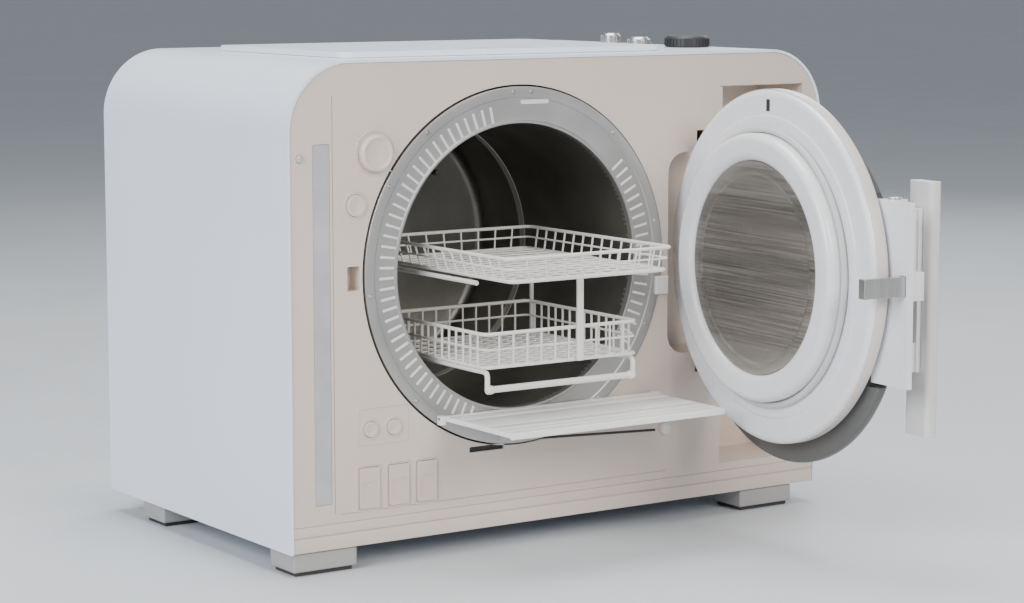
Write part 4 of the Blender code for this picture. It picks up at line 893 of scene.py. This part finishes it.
# ---- door
def make_disc():
    """The door's disc with its hoop (beige, painted shade of the rim's side), raised collar, seal
    and pane.
    """
    low, high = in_shut_door("door_plate")
    boss_low, boss_high = in_shut_door("door_boss")
    pane_low, pane_high = in_shut_door("door_window")
    seal_low, seal_high = in_shut_door("door_gasket")
    outside, boss_r = (high.z - low.z) / 2, (boss_high.z - boss_low.z) / 2
    pane_r, seal_r = (pane_high.z - pane_low.z) / 2, (seal_high.z - seal_low.z) / 2
    face, back, seat = high.y, low.y, boss_low.y - GAP
    inside = outside - 0.0007  # the disc, inside the hoop round its rim
    step, step_r, soft = 0.0012, 0.1285, 0.0045
    disc = [(boss_r + GAP, seat), (boss_r + GAP, face), (step_r - 0.001, face),
            (step_r, face - step), (inside - soft, face - step),
            (inside - 0.0012, face - step - 0.0012),
            (inside, face - step - soft), (inside, back + soft), (inside - soft, back),
            (pane_r + GAP, back), (pane_r + GAP, seat)]
    on_door(lathe("door_disc", fillet(disc, 0.0014, 4), CENTRE, 192), "door_shell", "door_plate")
    # The beige hoop round the disc's rim is painted shade of the door's side.
    margin, sheet = 0.0052, 0.0016
    hoop = fillet([(outside, face - margin), (outside, back + margin),
                   (outside - sheet, back + margin), (outside - sheet, face - margin)], 0.0003, 2)
    on_door(lathe("door_shaded_hoop", hoop, CENTRE, 192), "hoop")

    tip, turn = boss_high.y, 0.0062
    collar = ([(boss_r, boss_low.y)] + arc(boss_r - turn, tip - turn, turn, 0, 90, 10)
              + arc(pane_r + GAP + turn, tip - turn, turn, 90, 180, 10)
              + [(pane_r + GAP, boss_low.y)])
    on_door(lathe("door_collar", collar, CENTRE, 192), "boss_shell", "door_boss")
    small = (seal_r - boss_r - GAP) / 2
    seal = circle(boss_r + GAP + small, (seal_low.y + seal_high.y) / 2, small, 20)
    on_door(lathe("door_seal", seal, CENTRE, 160), "gasket", "door_gasket")
    sunk = pane_high.y - 0.0012
    pane = fillet([(0, pane_low.y), (0, sunk), (pane_r - 0.012, sunk),
                   (pane_r - 0.009, pane_high.y), (pane_r, pane_high.y), (pane_r, pane_low.y)],
                  0.0006, 3)
    on_door(lathe("door_pane", pane, CENTRE, 160), "door_steel", "door_window")

    half, top = 0.0026, CENTRE_Z + outside
    mark = block("door_mark", (CENTRE_X - half, face - step - 0.0008, top - 0.0185),
                 (CENTRE_X + half, face - step + 0.0003, top - 0.0085), 0.0003)
    on_door(mark, "dark", slot="dark_plastic")


def make_cover():
    """The door's domed back cover, cut away at the latch and the hinge arms, and the arms."""
    low, high = in_shut_door("door_cover")
    cover_r, middle = (high.z - low.z) / 2, (high.z + low.z) / 2
    front, rear = low.y, high.y
    dome = fillet([(cover_r, rear), (cover_r, front + 0.011), (cover_r - 0.013, front),
                   (0.0, front), (0.0, rear)], 0.0040, 5)
    cover = lathe("back_cover", dome, (CENTRE_X, 0, middle), 160)
    past, room = 0.1, 0.004  # the cutters' reach, and the room round a piece
    deep, proud = front - 0.01, rear + 0.01
    latch_low, latch_high = in_shut_door("latch_housing")
    cuts = [block("chord", (high.x, deep, -past), (CASE_W, proud, CASE_H + past)),
            block("latch_side", (-past, deep, latch_low.z - room),
                  (0.104, proud, latch_high.z + room))]
    for name in ("hinge_arm_upper", "hinge_arm_lower"):
        arm_low, arm_high = in_shut_door(name)
        cuts.append(block("arm_slot", (arm_low.x - room, rear - 0.0075, arm_low.z - 0.001),
                          (CASE_W, proud, arm_high.z + 0.001)))
    on_door(eased(carve(cover, *cuts), 0.0008, 2), "cover", "door_cover")
    screw_r = 0.118
    spots = [(CENTRE_X + screw_r * math.cos(a), front, middle + screw_r * math.sin(a))
             for a in (math.radians(v) for v in (62, 118, 242, 298))]
    screws("cover_screws", spots, 0.0030, "door", place=ON_DOOR)

    for name in ("hinge_arm_upper", "hinge_arm_lower"):
        softened(name, "steel", 0.0007, 2, name + "_rod")
    for name in ("hinge_bracket_upper", "hinge_bracket_lower"):
        softened(name, "steel", 0.0006, 2, name + "_plate")
    softened("hinge_pin", "steel", 0.0005, 2, "hinge_rod")


def make_handle():
    low, high = in_shut_door("handle_bar")
    bar = plate("grip_bar", [rounded(low.x, low.y, high.x, high.y, 0.0042, 8)], low.z, high.z, "XY")
    on_door(eased(bar, 0.0022, 4, 50), "handle", "handle_bar", body="handle")
    softened("handle_bracket", "boss_shell", 0.0009, 3, "grip_bracket")
    softened("latch_housing", "boss_shell", 0.0009, 3, "latch_body")
    softened("latch_tongue", "steel", 0.0006, 2, "latch_bolt")
    softened("handle_pin", "steel", 0.0004, 2, "grip_pin")

    pin_low, pin_high = in_shut_door("handle_pin")
    x, y = (pin_low.x + pin_high.x) / 2, (pin_low.y + pin_high.y) / 2
    turns, per_turn, z0, z1, reach = 11, 20, 0.1755, 0.2105, 0.0049
    steps = turns * per_turn
    coil = [(x + reach * math.cos(math.tau * i / per_turn),
             y + reach * math.sin(math.tau * i / per_turn),
             z0 + (z1 - z0) * i / steps) for i in range(steps + 1)]
    on_door(wires("grip_spring", [(coil, 0.0007, False)], 2), "screw", slot="steel")
    latch_low, latch_high = in_shut_door("latch_housing")
    front = in_shut_door("door_cover")[1].y - 0.005
    spots = [(latch_high.x - 0.0030, front, z) for z in (latch_low.z + 0.022, latch_high.z - 0.022)]
    screws("latch_screws", spots, 0.0022, "door", place=ON_DOOR)
    inner, outer, half = 0.0037, 0.0056, 0.0009
    clip = fillet([(inner, -half), (outer, -half), (outer, half), (inner, half)], 0.0003, 2)
    for side, z in (("low", pin_low.z + 0.0006), ("high", pin_high.z - 0.0006)):
        on_door(lathe(f"grip_clip_{side}", clip, (x, y, z), 32, "Z"), "screw", slot="steel")


# ---- feet, top, rear
def make_feet():
    pad, inset = 0.0035, 0.003
    for name in [n for n in frame["nodes"] if n.startswith("foot_")]:
        low, high = in_case(name)
        body = block(name + "_block", (low.x, low.y, low.z + pad), tuple(high), 0.0016, 4)
        finished(body, "foot", name)
        sole = block(name + "_sole", (low.x + inset, low.y + inset, low.z),
                     (high.x - inset, high.y - inset, low.z + pad + 0.0005), 0.0010, 3)
        on_case(sole, "foot_pad", "foot_grey")


def ribbed_cap(name, low, ribs, look, node_name, plug=None):
    """A screw cap from one height to its node's top, with a rounded top and grip ribs.

    Plug is the radius of what goes down into the tank's neck."""
    (x, y, _), radius, bottom, top = round_node(node_name)
    high = top.z
    tall, side, dish = high - low, radius - 0.0010, high - 0.0010
    profile = [(0, low), (side, low), (side, low + tall * 0.12), (side, high - 0.0022),
               (radius - 0.0032, high), (radius * 0.62, high), (radius * 0.58, dish), (0, dish)]
    if plug:
        profile = [(0, bottom.z), (plug, bottom.z), (plug, low)] + profile[1:]
    cap = lathe(name, fillet(profile, 0.0007, 3), (x, y, 0), 96, "Z")
    finished(cap, look, node_name)
    blocks = [turned((x, y, low + tall * 0.44), "Z", math.tau * i / ribs, (radius - 0.0009, 0, 0),
                     (0.0016, 0.0015, tall * 0.72)) for i in range(ribs)]
    grip = eased(cluster(name + "_ribs", blocks), 0.0003, 2)
    with_node(grip, look, node_name)


def make_top():
    ribbed_cap("tank_cap", CASE_H + GAP, 32, "dark", "filler_cap", 0.0133)
    for name, ribs in (("relief_valve_cap", 18), ("vent_cap", 16)):
        ribbed_cap(name + "_top", in_case(name)[0].z, ribs, "screw", name)
    low, high = in_case("top_lid")
    aside = 0.135
    outline = rounded(low.x + aside, low.y + 0.010, high.x - aside, low.y + 0.022, 0.005)
    grip = plate("lid_grip", [outline], high.z - 0.0005, high.z + 0.0007, "XY")
    on_case(eased(grip, 0.0004, 2), "fascia_key", "fascia_plastic")


def make_rear():
    low, high = in_case("rear_panel")
    (fan_x, _, fan_z), _, _, _ = round_node("fan_frame")
    (tap_x, _, tap_z), tap_r, _, _ = round_node("drain_tap")
    inlet_low, inlet_high = in_case("power_inlet")
    openings = [circle(fan_x, fan_z, 0.037, 64),
                rectangle(inlet_low.x - GAP, inlet_low.z - GAP, inlet_high.x + GAP,
                          inlet_high.z + GAP),
                circle(tap_x, tap_z, tap_r + GAP, 40)]
    rows, first, pitch, wide, tall = 9, 0.235, 0.014, 0.060, 0.0045
    for row in range(rows):
        z = first + row * pitch
        for x0 in (0.245, 0.320):
            openings.append(rounded(x0, z, x0 + wide, z + tall, 0.0022, 4))
    panel = plate("back_panel", [rounded_top(low.x, low.z)] + openings, low.y, high.y)
    finished(eased(panel, 0.0004, 2), "casing_paint", "rear_panel")

    def round_fan(radius, angle, y):
        return fan_x + radius * math.cos(angle), y, fan_z + radius * math.sin(angle)

    y = high.y + 0.0016
    inner, ring_pitch, screw_r = 0.0075, 0.0072, 0.0475
    around_ring = [math.tau * k / 48 for k in range(48)]
    guard = [([round_fan(inner + i * ring_pitch, a, y) for a in around_ring], 0.0009, True)
             for i in range(5)]
    diagonals = [math.radians(45 + 90 * i) for i in range(4)]
    bent = y - 0.0006
    spoke = ((inner, y), (0.030, y), (0.040, bent), (screw_r, bent))
    guard += [([round_fan(radius, a, h) for radius, h in spoke], 0.0011, False) for a in diagonals]
    on_case(wires("fan_guard", guard), "screw", "steel")
    spots = [round_fan(screw_r, a, high.y + 0.0012) for a in diagonals]
    edge = 0.014
    spots += [(x, high.y, z) for x in (low.x + edge, high.x - edge) for z in (0.02, 0.17, 0.33)]
    spots += [(x, high.y, high.z - edge + 0.004) for x in (0.10, 0.278, 0.456)]
    screws("rear_screws", spots, 0.0032, "housing", facing=1)
    tag = block("blank_plate", (0.300, high.y - 0.0002, 0.100), (0.380, high.y + 0.0006, 0.150),
                0.0002, 2)
    on_case(tag, "steel", "steel")

    for name, look in (("power_inlet", "dark"), ("drain_tap", "brass"), ("drain_lever", "dark"),
                       ("fan_frame", "dark"), ("fan_rotor", "dark")):
        softened(name, look, 0.0004, 2, name + "_body")


def make_insides():
    """The pieces inside the casing keep their CAD shapes and get their materials."""
    looks = {"chamber_cradle": "casing_paint", "control_board": "board",
             "insulation_jacket": "blanket", "power_supply": "steel",
             "steam_generator": "steel", "vacuum_pump": "pump_paint",
             "waste_tank": "tank", "water_tank": "tank"}
    for name, look in looks.items():
        materials = frame["nodes"][name].data.materials
        materials.clear()
        materials.append(MATERIALS[look])


# ---- studio
def area_light(name, place, aim, size, power, colour):
    data = bpy.data.lights.new(name, "AREA")
    data.shape = "RECTANGLE"
    data.size, data.size_y = size
    data.energy = power
    data.color = colour
    made = linked(name, data)
    made.location = place
    made.rotation_euler = (Vector(aim) - Vector(place)).to_track_quat("-Z", "Y").to_euler()


def make_studio():
    shape = bmesh.new()
    bmesh.ops.create_grid(shape, x_segments=2, y_segments=2, size=30.0)
    floor = from_bmesh("floor", shape)
    floor.data.materials.append(moulded("floor_paint", (0.60, 0.62, 0.64), 0.55, 0.02, 200.0, 0.05,
                                        patches=1.5))

    world = bpy.data.worlds.new("studio")
    bpy.context.scene.world = world
    world.use_nodes = True
    background = world.node_tree.nodes["Background"]
    background.inputs["Color"].default_value = (0.62, 0.67, 0.73, 1.0)
    background.inputs["Strength"].default_value = 0.50

    middle = (0, 0, 0.2)
    area_light("key", (-2.6, -0.9, 1.5), middle, (1.6, 1.6), 88, (0.92, 0.96, 1.0))
    area_light("front", (0.2, -3.0, 1.7), middle, (1.6, 1.2), 72, (1.0, 0.955, 0.905))
    area_light("overhead", (0.1, 0.3, 2.4), middle, (1.8, 1.4), 62, (1.0, 1.0, 1.0))
    area_light("rim", (2.2, 1.6, 1.6), middle, (1.2, 1.2), 18, (0.92, 0.96, 1.0))

    lens = bpy.data.cameras.new("camera")
    lens.lens = 92.5
    lens.sensor_width = 36.0
    lens.clip_start, lens.clip_end = 0.05, 60.0
    camera = linked("camera", lens)
    camera.location = CASE_LOW + Vector((-1.0269, -1.8288, 0.4810))
    camera.rotation_euler = (math.radians(82.57), 0.0, math.radians(-34.21))
    bpy.context.scene.camera = camera


make_casing()
make_front()
make_keys()
make_knob()
make_front_fittings()
make_chamber()
make_shelf()
make_basket()
make_rack()
make_drop_shelf()
make_disc()
make_cover()
make_handle()
make_feet()
make_top()
make_rear()
make_insides()
make_studio()
